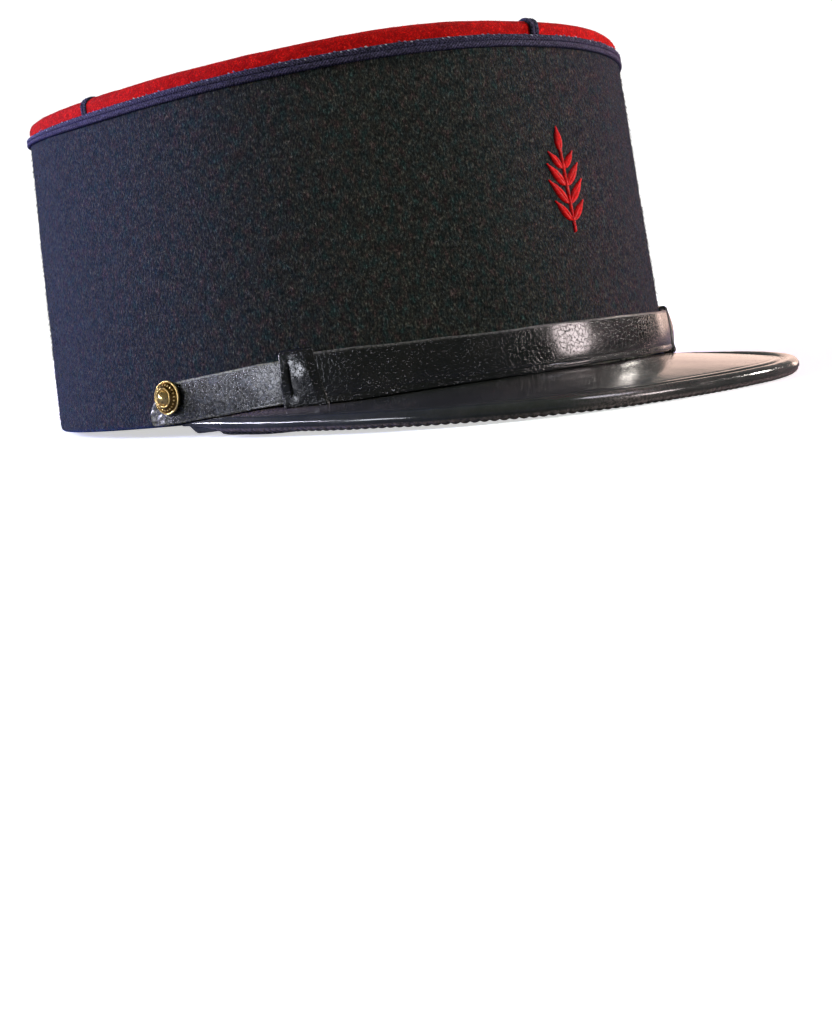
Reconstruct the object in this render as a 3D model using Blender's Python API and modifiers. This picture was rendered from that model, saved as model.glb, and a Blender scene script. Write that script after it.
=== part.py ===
"""Kepi cap: a stiff oval crown of dark wool cloth with a red top, a leather peak and a chin strap.

Metres, +Z up. The cap faces -Y, so the wearer's right is at -X. It rests on z = 0, on the front edge
of its peak and the back of its crown, so its crown stands pitched a little backwards.

Every piece is placed on the crown. A place on it is an angle round it, 0 at the front and 90 degrees
at the wearer's right, a height over the crown's bottom edge and a distance out from the cloth.
"""
import math

import bmesh
import bpy
from mathutils import Matrix, Vector

# Crown: a superellipse at the bottom edge that turns into a smaller one at the red top
BOTTOM_HALF_LENGTH = 0.1039
BOTTOM_HALF_WIDTH = 0.0841
BOTTOM_POWER = 2.03
TOP_HALF_LENGTH = 0.0948
TOP_HALF_WIDTH = 0.0788
TOP_POWER = 2.27
TOP_SHIFT_BACK = 0.0008
CROWN_HEIGHT = 0.0910
CROWN_RISE_TO_BACK = 0.0158     # height gained for each metre towards the back
CROWN_SIDE_DIP = 0.0041         # how much lower the top lies at the sides
WALL = 0.0030
HEM_ROUNDING = 0.0010
HEM_FRONT_RISE = 0.0034         # the bottom edge arches up this far at the front, over the peak
HEM_ARCH_END = math.radians(76)
HEM_ARCH_POWER = 1.5
GAP = 0.0003                    # between pieces that touch

# Red top: a rounded rim round a sunken flat middle
TOP_CLOTH = 0.0016
RIM_INSET = 0.0
RIM_CENTRE_RISE = 0.0019
RIM_RADIUS_ACROSS = 0.0025
RIM_RADIUS_UP = 0.0022
RECESS_RISE = 0.0019
RECESS_FILLET = 0.0005
RIM_ARC_STEP = 30               # degrees between the points of the rim's section

# Braid under the rim, and the four short cords over it
BRAID_HEIGHT = 0.0034
BRAID_THICKNESS = 0.0009
BRAID_GROOVE = 0.0004
CORD_WIDTH = 0.0030
CORD_THICKNESS = 0.0008
CORD_OVER_BRAID = 0.0001        # more than the usual gap, between a cord's lower end and the braid
CORD_PLACES = {"front": 0.0, "right": 90.0, "back": 180.0, "left": 270.0}
# Columns: share of the cord's width, share of its thickness
CORD_OUTLINE = (
    (-0.5, 0.0),
    (0.5, 0.0),
    (0.5, 0.6),
    (0.3, 1.0),
    (-0.3, 1.0),
    (-0.5, 0.6),
)

# Peak: its rolled edge follows a superellipse in plan, centred behind the front of the crown
PEAK_HALF_WIDTH = 0.0803
PEAK_CENTRE_Y = -0.0275
PEAK_REACH = 0.1122
PEAK_POWER = 2.76
PEAK_FRONT_Z = -0.0047
PEAK_SLOPE = 0.033              # fall for each metre forwards
PEAK_SIDE_RISE = 0.0010
PEAK_LEATHER = 0.0026
PEAK_UNDER_CROWN = 0.0026       # how far its root runs in under the cloth
PEAK_BELOW_ROLL = 0.0006        # its leather lies this much lower than the middle of its rolled edge
PEAK_END_ANGLE = 74.5
ROLL_RADIUS = 0.0021
ROLL_END_RADIUS = 0.0006
ROLL_END_DIP = 0.0009
ROLL_TAPER_START = math.radians(84)

# Chin strap: two straps that lie over each other at the front, each ending in a loop round the other
STRAP_LEATHER = 0.0010
STRAP_EDGE = 0.00025            # bevel along its face
ON_CLOTH = GAP                              # back of a strap that lies on the cloth
ON_LEATHER = ON_CLOTH + STRAP_LEATHER + GAP     # on one other thickness of leather
ON_TWO = ON_LEATHER + STRAP_LEATHER + GAP       # on two

# Columns: angle in degrees, lower edge, upper edge, distance of its back from the cloth
STRAP_RIGHT_PATH = (
    (80.3, 0.0002, 0.0110, ON_CLOTH),
    (70.0, 0.0010, 0.0121, ON_CLOTH),
    (64.0, 0.0018, 0.0130, ON_CLOTH),
    (57.0, 0.0025, 0.0138, ON_LEATHER),
    (47.0, 0.0029, 0.0141, ON_LEATHER),
    (36.0, 0.0030, 0.0141, ON_CLOTH),
    (0.0, 0.0032, 0.0140, ON_CLOTH),
    (-42.7, 0.0030, 0.0139, ON_CLOTH),
)
STRAP_LEFT_PATH = (
    (-80.3, 0.0002, 0.0110, ON_CLOTH),
    (-70.0, 0.0010, 0.0121, ON_CLOTH),
    (-58.0, 0.0024, 0.0137, ON_CLOTH),
    (-50.0, 0.0031, 0.0143, ON_LEATHER),
    (-41.0, 0.0032, 0.0144, ON_LEATHER),
    (-20.0, 0.0032, 0.0144, ON_LEATHER),
    (-5.0, 0.0032, 0.0145, ON_LEATHER),
    (8.0, 0.0030, 0.0145, ON_LEATHER),
    (23.0, 0.0027, 0.0146, ON_LEATHER),
    (36.0, 0.0022, 0.0148, ON_LEATHER),
    (46.0, 0.0017, 0.0150, ON_TWO),
    (49.2, 0.0016, 0.0150, ON_TWO),
)
STRAP_STEP = 3.0                # degrees between sections

# Strap loops. Columns: name, angle where it starts, angle where it ends, lower edge, upper edge
STRAP_LOOPS = (
    ("strap_loop_right", 49.5, 55.2, 0.0013, 0.0163),
    ("strap_loop_left", -48.8, -43.0, 0.0018, 0.0158),
)
LOOP_CORNER = 0.0009
LOOP_INNER_CORNER = 0.0003

# Buttons, on the strap's ends. Profile columns: radius, height over the button's back
BUTTON_ANGLE = 75.5
BUTTON_HEIGHT = 0.0077
BUTTON_PROFILE = (
    (0.0, 0.0032),
    (0.0010, 0.0030),
    (0.0016, 0.0026),
    (0.0020, 0.0022),
    (0.0025, 0.0024),
    (0.0029, 0.0021),
    (0.0041, 0.0018),
    (0.0046, 0.0019),
    (0.0049, 0.0015),
    (0.0048, 0.0008),
    (0.0041, 0.0002),
    (0.0033, 0.0),
    (0.0, 0.0),
)
BUTTON_SIDES = 24

# Emblem at the front: an upright sprig with paired leaves, raised off the cloth
SPRIG_FOOT_HEIGHT = 0.0375
SPRIG_X = 0.0009
SPRIG_HEIGHT = 0.0280
SPRIG_STEM_HALF_WIDTH = 0.0005
SPRIG_RELIEF = 0.0008
LEAF_ANGLE = math.radians(42)
TIP_LEAF_LENGTH = 0.0066
TIP_LEAF_HALF_WIDTH = 0.0014
LEAF_FULLNESS = 0.8             # below 1 puts a leaf's widest place past its middle
LEAF_FOOT_SHARE = 0.6           # of the leaf's half width, where it meets the stem
LEAF_CROTCH = 0.0006            # how far the stem's bare side starts above a leaf's foot
LEAF_STEPS = 6
# Columns: height of the leaf's joint over the foot, leaf length, leaf half width
SPRIG_LEAVES = (
    (0.0032, 0.0072, 0.0012),
    (0.0077, 0.0086, 0.0013),
    (0.0124, 0.0080, 0.0013),
    (0.0169, 0.0062, 0.0011),
)
SPRIG_BEND_LINES = (-0.0050, -0.0025, 0.0, 0.0025, 0.0050)

CROWN_SIDES = 88                # sections round the crown
PEAK_SIDES = 44                 # sections along the peak
ROLL_SIDES = 56                 # sections along its rolled edge
FINE_STEPS = 400                # places looked at when sections are spaced evenly
SMALL_STEP = 1e-3               # for directions along a curve
SMOOTH_ANGLE = math.radians(40) # sharper edges than this stay sharp

# Colour, roughness and metallic value of each material
WOOL = ("dark_wool", (0.012, 0.012, 0.020), 0.95, 0.0)
RED = ("red_cloth", (0.55, 0.010, 0.010), 0.90, 0.0)
NAVY = ("navy_braid", (0.020, 0.018, 0.060), 0.80, 0.0)
LEATHER = ("black_leather", (0.010, 0.010, 0.011), 0.30, 0.0)
GILT = ("gilt_brass", (0.80, 0.55, 0.20), 0.28, 1.0)
THREAD = ("red_thread", (0.60, 0.012, 0.015), 0.60, 0.0)

UP = Vector((0, 0, 1))


def mix(a, b, share):
    return a + (b - a) * share


def smoothstep(share):
    share = min(max(share, 0.0), 1.0)
    return share * share * (3 - 2 * share)


def superellipse(angle, half_length, half_width, power):
    """Plan point at an angle from the front (-Y) towards the wearer's right (-X)."""
    across, along = math.sin(angle), math.cos(angle)
    x = -half_width * math.copysign(abs(across) ** (2 / power), across)
    y = -half_length * math.copysign(abs(along) ** (2 / power), along)
    return x, y


def crown_height(angle):
    """Height of the cloth's top edge, where the red top starts."""
    x, y = superellipse(angle, TOP_HALF_LENGTH, TOP_HALF_WIDTH, TOP_POWER)
    return CROWN_HEIGHT + CROWN_RISE_TO_BACK * y - CROWN_SIDE_DIP * (x / TOP_HALF_WIDTH) ** 2


def hem_height(angle):
    """Height of the cloth's bottom edge: flat round the back, arched over the peak."""
    arch = (math.cos(angle) - math.cos(HEM_ARCH_END)) / (1 - math.cos(HEM_ARCH_END))
    return HEM_FRONT_RISE * max(arch, 0.0) ** HEM_ARCH_POWER


def crown_point(angle, share):
    """Point on the outside of the cloth, at a share of its height there."""
    x, y = superellipse(
        angle,
        mix(BOTTOM_HALF_LENGTH, TOP_HALF_LENGTH, share),
        mix(BOTTOM_HALF_WIDTH, TOP_HALF_WIDTH, share),
        mix(BOTTOM_POWER, TOP_POWER, share),
    )
    return Vector((x, y + TOP_SHIFT_BACK * share, crown_height(angle) * share))


def crown_axes(angle, share):
    """Unit directions at a point of the crown: round it towards the right, and out of the cloth."""
    along = crown_point(angle + SMALL_STEP, share) - crown_point(angle - SMALL_STEP, share)
    upward = crown_point(angle, share + SMALL_STEP) - crown_point(angle, share - SMALL_STEP)
    return along.normalized(), upward.cross(along).normalized()


def on_crown(angle, height, out):
    """Point at a height over the bottom edge and a distance out from the cloth."""
    share = height / crown_height(angle)
    return crown_point(angle, share) + out * crown_axes(angle, share)[1]


def on_rim(angle, inset, rise, sideways=0.0):
    """Point over the cloth's top edge: inwards, upwards and sideways from it."""
    along = crown_axes(angle, 1.0)[0]
    inward = along.cross(UP).normalized()
    return crown_point(angle, 1.0) + inset * inward + rise * UP + sideways * along


def ring_angles(sides):
    return [2 * math.pi * i / sides for i in range(sides)]


def evenly_spaced(point_at, start, stop, count):
    """Values between start and stop whose points lie the same distance apart along the curve."""
    values = [mix(start, stop, i / FINE_STEPS) for i in range(FINE_STEPS + 1)]
    lengths = [0.0]
    for a, b in zip(values, values[1:]):
        lengths.append(lengths[-1] + (point_at(b) - point_at(a)).length)
    spaced = []
    k = 0
    for i in range(count):
        wanted = lengths[-1] * i / (count - 1)
        while k < FINE_STEPS - 1 and lengths[k + 1] < wanted:
            k += 1
        share = (wanted - lengths[k]) / (lengths[k + 1] - lengths[k])
        spaced.append(mix(values[k], values[k + 1], share))
    return spaced


def make_material(name, colour, roughness, metallic):
    material = bpy.data.materials.get(name) or bpy.data.materials.new(name)
    material.use_nodes = True
    shader = material.node_tree.nodes["Principled BSDF"]
    shader.inputs["Base Color"].default_value = (*colour, 1.0)
    shader.inputs["Roughness"].default_value = roughness
    shader.inputs["Metallic"].default_value = metallic
    return material


def add_object(name, data, finish):
    """A named piece of the cap, parented to its empty."""
    piece = bpy.data.objects.new(name, data)
    bpy.data.collections["kepi_cap"].objects.link(piece)
    piece.parent = bpy.data.objects["cap_pose"]
    data.materials.append(make_material(*finish))
    if isinstance(data, bpy.types.Mesh):
        data.shade_smooth()
        data.set_sharp_from_angle(angle=SMOOTH_ANGLE)
    return piece


def mesh_from(name, bm):
    bmesh.ops.recalc_face_normals(bm, faces=bm.faces)
    mesh = bpy.data.meshes.new(name)
    bm.to_mesh(mesh)
    bm.free()
    return mesh


def loft(name, sections, finish, is_ring=False):
    """A closed body through outlines of the same number of points, capped unless it is a ring."""
    bm = bmesh.new()
    rows = [[bm.verts.new(point) for point in section] for section in sections]
    pairs = list(zip(rows, rows[1:]))
    if is_ring:
        pairs.append((rows[-1], rows[0]))
    for row, following in pairs:
        for i in range(len(row)):
            j = (i + 1) % len(row)
            bm.faces.new((row[i], row[j], following[j], following[i]))
    if not is_ring:
        bm.faces.new(rows[0])
        bm.faces.new(reversed(rows[-1]))
    return add_object(name, mesh_from(name, bm), finish)


def add_crown_wall():
    """The cloth wall, open at both ends, with its bottom outer edge rounded."""
    sections = []
    cut = HEM_ROUNDING * (1 - math.sqrt(0.5))
    for angle in ring_angles(CROWN_SIDES):
        hem = hem_height(angle)
        top = crown_height(angle)
        section = [
            on_crown(angle, hem, -WALL),
            on_crown(angle, hem, -HEM_ROUNDING),
            on_crown(angle, hem + cut, -cut),
            on_crown(angle, hem + HEM_ROUNDING, 0.0),
            on_crown(angle, 0.5 * top, 0.0),
            on_rim(angle, 0.0, 0.0),
            on_rim(angle, WALL, 0.0),
            on_crown(angle, 0.5 * top, -WALL),
        ]
        for point in section[:2]:
            point.z = hem
        sections.append(section)
    loft("crown_wall", sections, WOOL, is_ring=True)


def rim_profile():
    """Inset and rise of the red top's visible side, from the cloth wall over the rim to the recess."""
    centre = RIM_INSET + RIM_RADIUS_ACROSS
    profile = [(RIM_INSET, GAP)]
    for degrees in range(180, -1, -RIM_ARC_STEP):
        turn = math.radians(degrees)
        profile.append((
            centre + RIM_RADIUS_ACROSS * math.cos(turn),
            RIM_CENTRE_RISE + RIM_RADIUS_UP * math.sin(turn),
        ))
    inner = profile[-1][0]
    profile[-1] = (inner, RECESS_RISE + RECESS_FILLET)
    profile.append((inner + RECESS_FILLET, RECESS_RISE))
    return profile


def add_crown_top():
    """Red cloth over the rim and the sunken middle, as an open surface given its thickness."""
    bm = bmesh.new()
    angles = ring_angles(CROWN_SIDES)
    rows = [[bm.verts.new(on_rim(a, inset, rise)) for a in angles] for inset, rise in rim_profile()]
    middle = Vector((0, TOP_SHIFT_BACK, CROWN_HEIGHT - CROWN_SIDE_DIP / 2 + RECESS_RISE))
    rows.append([bm.verts.new(mix(vert.co, middle, 0.5)) for vert in rows[-1]])
    for row, following in zip(rows, rows[1:]):
        for i in range(CROWN_SIDES):
            j = (i + 1) % CROWN_SIDES
            bm.faces.new((row[i], row[j], following[j], following[i]))
    centre = bm.verts.new(middle)
    for i in range(CROWN_SIDES):
        bm.faces.new((rows[-1][i], rows[-1][(i + 1) % CROWN_SIDES], centre))
    top = add_object("crown_top", mesh_from("crown_top", bm), RED)
    solidify = top.modifiers.new("cloth thickness", "SOLIDIFY")
    solidify.thickness = TOP_CLOTH
    solidify.offset = -1.0


def add_top_braid():
    """Flat braid with two ridges and a groove, round the crown just under the red top."""
    back, front = GAP, GAP + BRAID_THICKNESS
    # Columns: share of the braid's height down from its upper edge, distance out
    outline = (
        (0.0, back),
        (0.0, front - BRAID_GROOVE),
        (0.25, front),
        (0.5, front - BRAID_GROOVE),
        (0.75, front),
        (1.0, front - BRAID_GROOVE),
        (1.0, back),
    )
    sections = []
    for angle in ring_angles(CROWN_SIDES):
        top = crown_height(angle)
        sections.append([on_crown(angle, top - share * BRAID_HEIGHT, out) for share, out in outline])
    loft("top_braid", sections, NAVY, is_ring=True)


def add_rim_cord(place, degrees):
    """Short flat cord from the braid up over the red rim and down into the recess."""
    angle = math.radians(degrees)
    centre = RIM_INSET + RIM_RADIUS_ACROSS
    sections = []
    for direction in range(180 + RIM_ARC_STEP, -1, -RIM_ARC_STEP):
        turn = math.radians(min(direction, 180))
        lowest = GAP + CORD_OVER_BRAID if direction > 90 else RECESS_RISE + RECESS_FILLET
        section = []
        for sideways, out in CORD_OUTLINE:
            reach = GAP + out * CORD_THICKNESS
            inset = centre + (RIM_RADIUS_ACROSS + reach) * math.cos(turn)
            rise = max(RIM_CENTRE_RISE + (RIM_RADIUS_UP + reach) * math.sin(turn), lowest)
            if direction > 180:
                rise = lowest
            section.append(on_rim(angle, inset, rise, sideways * CORD_WIDTH))
        sections.append(section)
    loft("rim_cord_" + place, sections, NAVY)


def roll_centre(turn):
    """Middle of the peak's rolled edge, turn 0 at the front and 90 degrees at its right end."""
    x, y = superellipse(turn, PEAK_REACH, PEAK_HALF_WIDTH, PEAK_POWER)
    front_y = PEAK_CENTRE_Y - PEAK_REACH
    y += PEAK_CENTRE_Y
    z = PEAK_FRONT_Z + PEAK_SLOPE * (y - front_y) + PEAK_SIDE_RISE * (x / PEAK_HALF_WIDTH) ** 2
    return Vector((x, y, z - ROLL_END_DIP * roll_taper(turn)))


def roll_taper(turn):
    """0 along the peak's edge, growing to 1 where the rolled edge runs out under the crown."""
    return smoothstep((abs(turn) - ROLL_TAPER_START) / (math.pi / 2 - ROLL_TAPER_START))


def roll_radius(turn):
    return mix(ROLL_RADIUS, ROLL_END_RADIUS, roll_taper(turn))


def peak_rim(turn):
    """Outer edge of the peak's leather, just inside its rolled edge."""
    ahead = roll_centre(min(turn + SMALL_STEP, math.pi / 2))
    along = ahead - roll_centre(max(turn - SMALL_STEP, -math.pi / 2))
    inward = along.cross(UP).normalized()
    return roll_centre(turn) + (roll_radius(turn) + GAP) * inward - PEAK_BELOW_ROLL * UP


def add_peak():
    """Leather plate from under the crown's front to the rolled edge, a little arched on the way."""
    turns = evenly_spaced(roll_centre, -math.pi / 2, math.pi / 2, PEAK_SIDES + 1)
    end = math.radians(PEAK_END_ANGLE)
    angles = evenly_spaced(lambda a: crown_point(a, 0.0), -end, end, PEAK_SIDES + 1)
    sections = []
    for angle, turn in zip(angles, turns):
        height = hem_height(angle)
        root = on_crown(angle, height, -PEAK_UNDER_CROWN)
        hem = on_crown(angle, height, 0.0)
        rim = peak_rim(turn)
        root.z = hem.z = height - GAP - PEAK_LEATHER / 2
        line = (root, hem, mix(hem, rim, 1 / 2), rim)
        if (rim - root).length < (hem - root).length + 2 * GAP:
            line = (root, mix(root, rim, 1 / 3), mix(root, rim, 2 / 3), rim)
        upper = [point + PEAK_LEATHER / 2 * UP for point in line]
        lower = [point - PEAK_LEATHER / 2 * UP for point in line]
        sections.append(upper + lower[::-1])
    loft("peak", sections, LEATHER)


def add_peak_binding():
    """Rolled leather edge of the peak, which thins out at both ends and runs in under the crown."""
    curve = bpy.data.curves.new("peak_binding", "CURVE")
    curve.dimensions = "3D"
    curve.bevel_depth = ROLL_RADIUS
    curve.bevel_resolution = 3
    curve.use_fill_caps = True
    turns = evenly_spaced(roll_centre, -math.pi / 2, math.pi / 2, ROLL_SIDES + 1)
    spline = curve.splines.new("POLY")
    spline.points.add(len(turns) - 1)
    for point, turn in zip(spline.points, turns):
        point.co = (*roll_centre(turn), 1.0)
        point.radius = roll_radius(turn) / ROLL_RADIUS
    add_object("peak_binding", curve, LEATHER)


def strap_row(path, degrees):
    """Lower edge, upper edge and distance out of a strap at an angle, read from its table."""
    rows = sorted(path)
    for row, following in zip(rows, rows[1:]):
        if degrees <= following[0]:
            share = (degrees - row[0]) / (following[0] - row[0])
            return (
                mix(row[1], following[1], share),
                mix(row[2], following[2], share),
                mix(row[3], following[3], smoothstep(share)),
            )
    return rows[-1][1:]


def add_strap(name, path):
    """One strap of the chin strap, wrapped round the crown."""
    first, last = min(path)[0], max(path)[0]
    count = round((last - first) / STRAP_STEP)
    sections = []
    for i in range(count + 1):
        degrees = mix(first, last, i / count)
        angle = math.radians(degrees)
        low, high, back = strap_row(path, degrees)
        face = back + STRAP_LEATHER
        sections.append([
            on_crown(angle, low, back),
            on_crown(angle, high, back),
            on_crown(angle, high, face - STRAP_EDGE),
            on_crown(angle, high - STRAP_EDGE, face),
            on_crown(angle, low + STRAP_EDGE, face),
            on_crown(angle, low, face - STRAP_EDGE),
        ])
    loft(name, sections, LEATHER)


def loop_outline(back, front, low, high, corner):
    """Rounded rectangle of a loop's section: pairs of distance out and height."""
    corners = (
        (front - corner, high - corner, 0),
        (back + corner, high - corner, 90),
        (back + corner, low + corner, 180),
        (front - corner, low + corner, 270),
    )
    outline = []
    for out, height, start in corners:
        for degrees in (start, start + 45, start + 90):
            turn = math.radians(degrees)
            outline.append((out + corner * math.cos(turn), height + corner * math.sin(turn)))
    return outline


def add_strap_loop(name, start, end, low, high):
    """Flat leather loop that goes round a strap, between it and the cloth and over its face."""
    front = ON_TWO + STRAP_LEATHER
    outer = loop_outline(ON_CLOTH, front, low, high, LOOP_CORNER)
    inner = loop_outline(
        ON_CLOTH + STRAP_LEATHER, front - STRAP_LEATHER,
        low + STRAP_LEATHER, high - STRAP_LEATHER, LOOP_INNER_CORNER,
    )
    angles = [math.radians(start), math.radians(end)]
    sections = []
    for (out, height), (out_in, height_in) in zip(outer, inner):
        sections.append([
            on_crown(angles[0], height, out),
            on_crown(angles[1], height, out),
            on_crown(angles[1], height_in, out_in),
            on_crown(angles[0], height_in, out_in),
        ])
    loft(name, sections, LEATHER, is_ring=True)


def button_mesh():
    """Half section of the button, to be turned round its axis."""
    mesh = bpy.data.meshes.new("button")
    points = [(radius, 0.0, height) for radius, height in BUTTON_PROFILE]
    mesh.from_pydata(points, [(i, i + 1) for i in range(len(points) - 1)], [])
    return mesh


def add_button(name, mesh, degrees):
    """Domed gilt button that sits on a strap's end."""
    angle = math.radians(degrees)
    share = BUTTON_HEIGHT / crown_height(angle)
    along, outward = crown_axes(angle, share)
    button = add_object(name, mesh, GILT)
    upward = outward.cross(along)
    place = Matrix((along, upward, outward)).transposed().to_4x4()
    if place.determinant() < 0:
        place = Matrix((-along, upward, outward)).transposed().to_4x4()
    place.translation = on_crown(angle, BUTTON_HEIGHT, ON_LEATHER)
    button.matrix_local = place
    screw = button.modifiers.new("turned", "SCREW")
    screw.steps = screw.render_steps = BUTTON_SIDES
    screw.use_merge_vertices = True
    screw.merge_threshold = 0.00001
    screw.use_smooth_shade = True


def leaf_side(length, half_width):
    """One edge of a pointed leaf between its foot and its tip: pairs of place along and half width."""
    shares = [i / LEAF_STEPS for i in range(1, LEAF_STEPS)]
    return [(s * length, half_width * math.sin(math.pi * s ** LEAF_FULLNESS)) for s in shares]


def leaf_outline(length, half_width):
    """Edge of a pointed leaf, from its foot round its tip and back: pairs of place along and across."""
    side = leaf_side(length, half_width)
    near = [(along, -across) for along, across in side]
    return near + [(length, 0.0)] + side[::-1]


def sprig_side():
    """Right half of the sprig's outline, from its foot up to its tip: pairs of x and height."""
    stem = SPRIG_STEM_HALF_WIDTH
    outline = [(stem, 0.0)]
    for joint, length, half_width in SPRIG_LEAVES:
        foot = LEAF_FOOT_SHARE * half_width
        outline.append((stem, joint - foot))
        for along, across in leaf_outline(length, half_width):
            x = stem + along * math.sin(LEAF_ANGLE) - across * math.cos(LEAF_ANGLE)
            z = joint + along * math.cos(LEAF_ANGLE) + across * math.sin(LEAF_ANGLE)
            outline.append((max(x, stem), z))
        outline.append((stem, joint + foot + LEAF_CROTCH))
    tip_foot = SPRIG_HEIGHT - TIP_LEAF_LENGTH
    outline.append((stem, tip_foot))
    for along, across in leaf_side(TIP_LEAF_LENGTH, TIP_LEAF_HALF_WIDTH):
        outline.append((across, tip_foot + along))
    return outline


def add_front_emblem():
    """The sprig as a low relief that follows the crown's front."""
    right = sprig_side()
    left = [(-x, z) for x, z in right[::-1]]
    bm = bmesh.new()
    outline = right + [(0.0, SPRIG_HEIGHT)] + left
    bm.faces.new([bm.verts.new((x, 0.0, z)) for x, z in outline])
    for x in SPRIG_BEND_LINES:
        bmesh.ops.bisect_plane(
            bm, geom=bm.verts[:] + bm.edges[:] + bm.faces[:], dist=1e-6,
            plane_co=(x, 0, 0), plane_no=(1, 0, 0),
        )
    bmesh.ops.triangulate(bm, faces=bm.faces)
    extruded = bmesh.ops.extrude_face_region(bm, geom=bm.faces[:])["geom"]
    raised = {item for item in extruded if isinstance(item, bmesh.types.BMVert)}
    for vert in bm.verts:
        height = SPRIG_FOOT_HEIGHT + vert.co.z
        x = SPRIG_X + vert.co.x
        share = height / crown_height(0.0)
        half_width = mix(BOTTOM_HALF_WIDTH, TOP_HALF_WIDTH, share)
        power = mix(BOTTOM_POWER, TOP_POWER, share)
        angle = -math.copysign(math.asin((abs(x) / half_width) ** (power / 2)), x)
        vert.co = on_crown(angle, height, GAP + (SPRIG_RELIEF if vert in raised else 0.0))
    add_object("front_emblem", mesh_from("front_emblem", bm), THREAD)


def set_pose():
    """Pitch the cap until the peak's front and the crown's back both rest on z = 0."""
    front = roll_centre(0.0) - ROLL_RADIUS * UP
    back = on_crown(math.pi, 0.0, -HEM_ROUNDING)
    pitch = math.atan2(-front.z, back.y - front.y)
    foremost = front.y - ROLL_RADIUS
    pose = bpy.data.objects["cap_pose"]
    pose.rotation_euler.x = -pitch
    pose.location.y = -(foremost + BOTTOM_HALF_LENGTH) / 2
    pose.location.z = back.y * math.sin(pitch)


def clear_scene():
    for item in list(bpy.data.objects):
        bpy.data.objects.remove(item)


def main():
    clear_scene()
    collection = bpy.data.collections.new("kepi_cap")
    bpy.context.scene.collection.children.link(collection)
    pose = bpy.data.objects.new("cap_pose", None)
    collection.objects.link(pose)
    set_pose()

    add_crown_wall()
    add_crown_top()
    add_top_braid()
    for place, degrees in CORD_PLACES.items():
        add_rim_cord(place, degrees)
    add_peak()
    add_peak_binding()
    add_strap("chin_strap_right", STRAP_RIGHT_PATH)
    add_strap("chin_strap_left", STRAP_LEFT_PATH)
    for loop in STRAP_LOOPS:
        add_strap_loop(*loop)
    button = button_mesh()
    add_button("button_right", button, BUTTON_ANGLE)
    add_button("button_left", button, -BUTTON_ANGLE)
    add_front_emblem()


main()
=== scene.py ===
"""Kepi cap, dressed: fulled wool with its nap, a red top, soutache braid, cracked glossy leather,
gilt buttons and a satin-stitched sprig.

Metres, +Z up. A place on the crown is an angle round it, 0 at the front and 90 degrees at the
wearer's right (-X), a height over the crown's bottom edge and a distance out from the cloth. Pieces
are shaped in the crown's own upright frame and then pitched back with it, as it rests on its peak.
"""

import math

import bpy
import numpy as np
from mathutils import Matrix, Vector


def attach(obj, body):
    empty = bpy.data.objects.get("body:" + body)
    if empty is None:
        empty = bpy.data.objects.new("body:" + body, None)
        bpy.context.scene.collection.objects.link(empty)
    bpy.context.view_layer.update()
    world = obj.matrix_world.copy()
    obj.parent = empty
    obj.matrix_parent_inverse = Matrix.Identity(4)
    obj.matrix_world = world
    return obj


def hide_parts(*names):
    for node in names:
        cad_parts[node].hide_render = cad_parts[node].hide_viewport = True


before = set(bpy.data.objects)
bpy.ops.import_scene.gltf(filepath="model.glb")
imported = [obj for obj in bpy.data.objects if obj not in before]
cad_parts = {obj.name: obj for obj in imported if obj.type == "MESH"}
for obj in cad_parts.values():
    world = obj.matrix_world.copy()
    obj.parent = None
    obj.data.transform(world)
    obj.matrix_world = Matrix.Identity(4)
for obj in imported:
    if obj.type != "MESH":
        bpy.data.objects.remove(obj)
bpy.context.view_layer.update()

MM = 0.001
UP = np.array((0.0, 0.0, 1.0))

# The crown, the peak's rolled edge and the pose, as the solids have them
BOTTOM_HALF_LENGTH = 0.1039
BOTTOM_HALF_WIDTH = 0.0841
BOTTOM_POWER = 2.03
TOP_HALF_LENGTH = 0.0948
TOP_HALF_WIDTH = 0.0788
TOP_POWER = 2.27
TOP_SHIFT_BACK = 0.0008
CROWN_HEIGHT = 0.0910
CROWN_RISE_TO_BACK = 0.0158
CROWN_SIDE_DIP = 0.0041
WALL = 0.0030
HEM_ROUNDING = 0.0010
HEM_FRONT_RISE = 0.0034
HEM_ARCH_END = math.radians(76)
HEM_ARCH_POWER = 1.5

PEAK_HALF_WIDTH = 0.0803
PEAK_CENTRE_Y = -0.0275
PEAK_REACH = 0.1122
PEAK_POWER = 2.76
PEAK_FRONT_Z = -0.0047
PEAK_SLOPE = 0.033
PEAK_SIDE_RISE = 0.0010
PEAK_LEATHER = 0.0026
PEAK_END_THINNING = 0.0055      # length over which its ends thin out
PEAK_UNDER_CROWN = 0.0026
PEAK_BELOW_ROLL = 0.0006
PEAK_EDGE_RISE = (-0.0004, 0.0005)  # of the leather's middle over the roll's: left side, right side
PEAK_EDGE_RISE_START = math.radians(-60)  # turn where it starts to change, and over how much it does
PEAK_EDGE_RISE_SPREAD = math.radians(40)
PEAK_END_ANGLE = math.radians(74.5)
ROLL_RADIUS = 0.0021
ROLL_END_RADIUS = 0.0006
ROLL_END_DIP = -0.0003
ROLL_TAPER_START = math.radians(84)

PITCH = math.atan2(
    ROLL_RADIUS - PEAK_FRONT_Z, BOTTOM_HALF_LENGTH - HEM_ROUNDING - PEAK_CENTRE_Y + PEAK_REACH
)
POSE_Y = (PEAK_REACH - PEAK_CENTRE_Y + ROLL_RADIUS - BOTTOM_HALF_LENGTH) / 2
POSE_Z = (BOTTOM_HALF_LENGTH - HEM_ROUNDING) * math.sin(PITCH)

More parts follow.
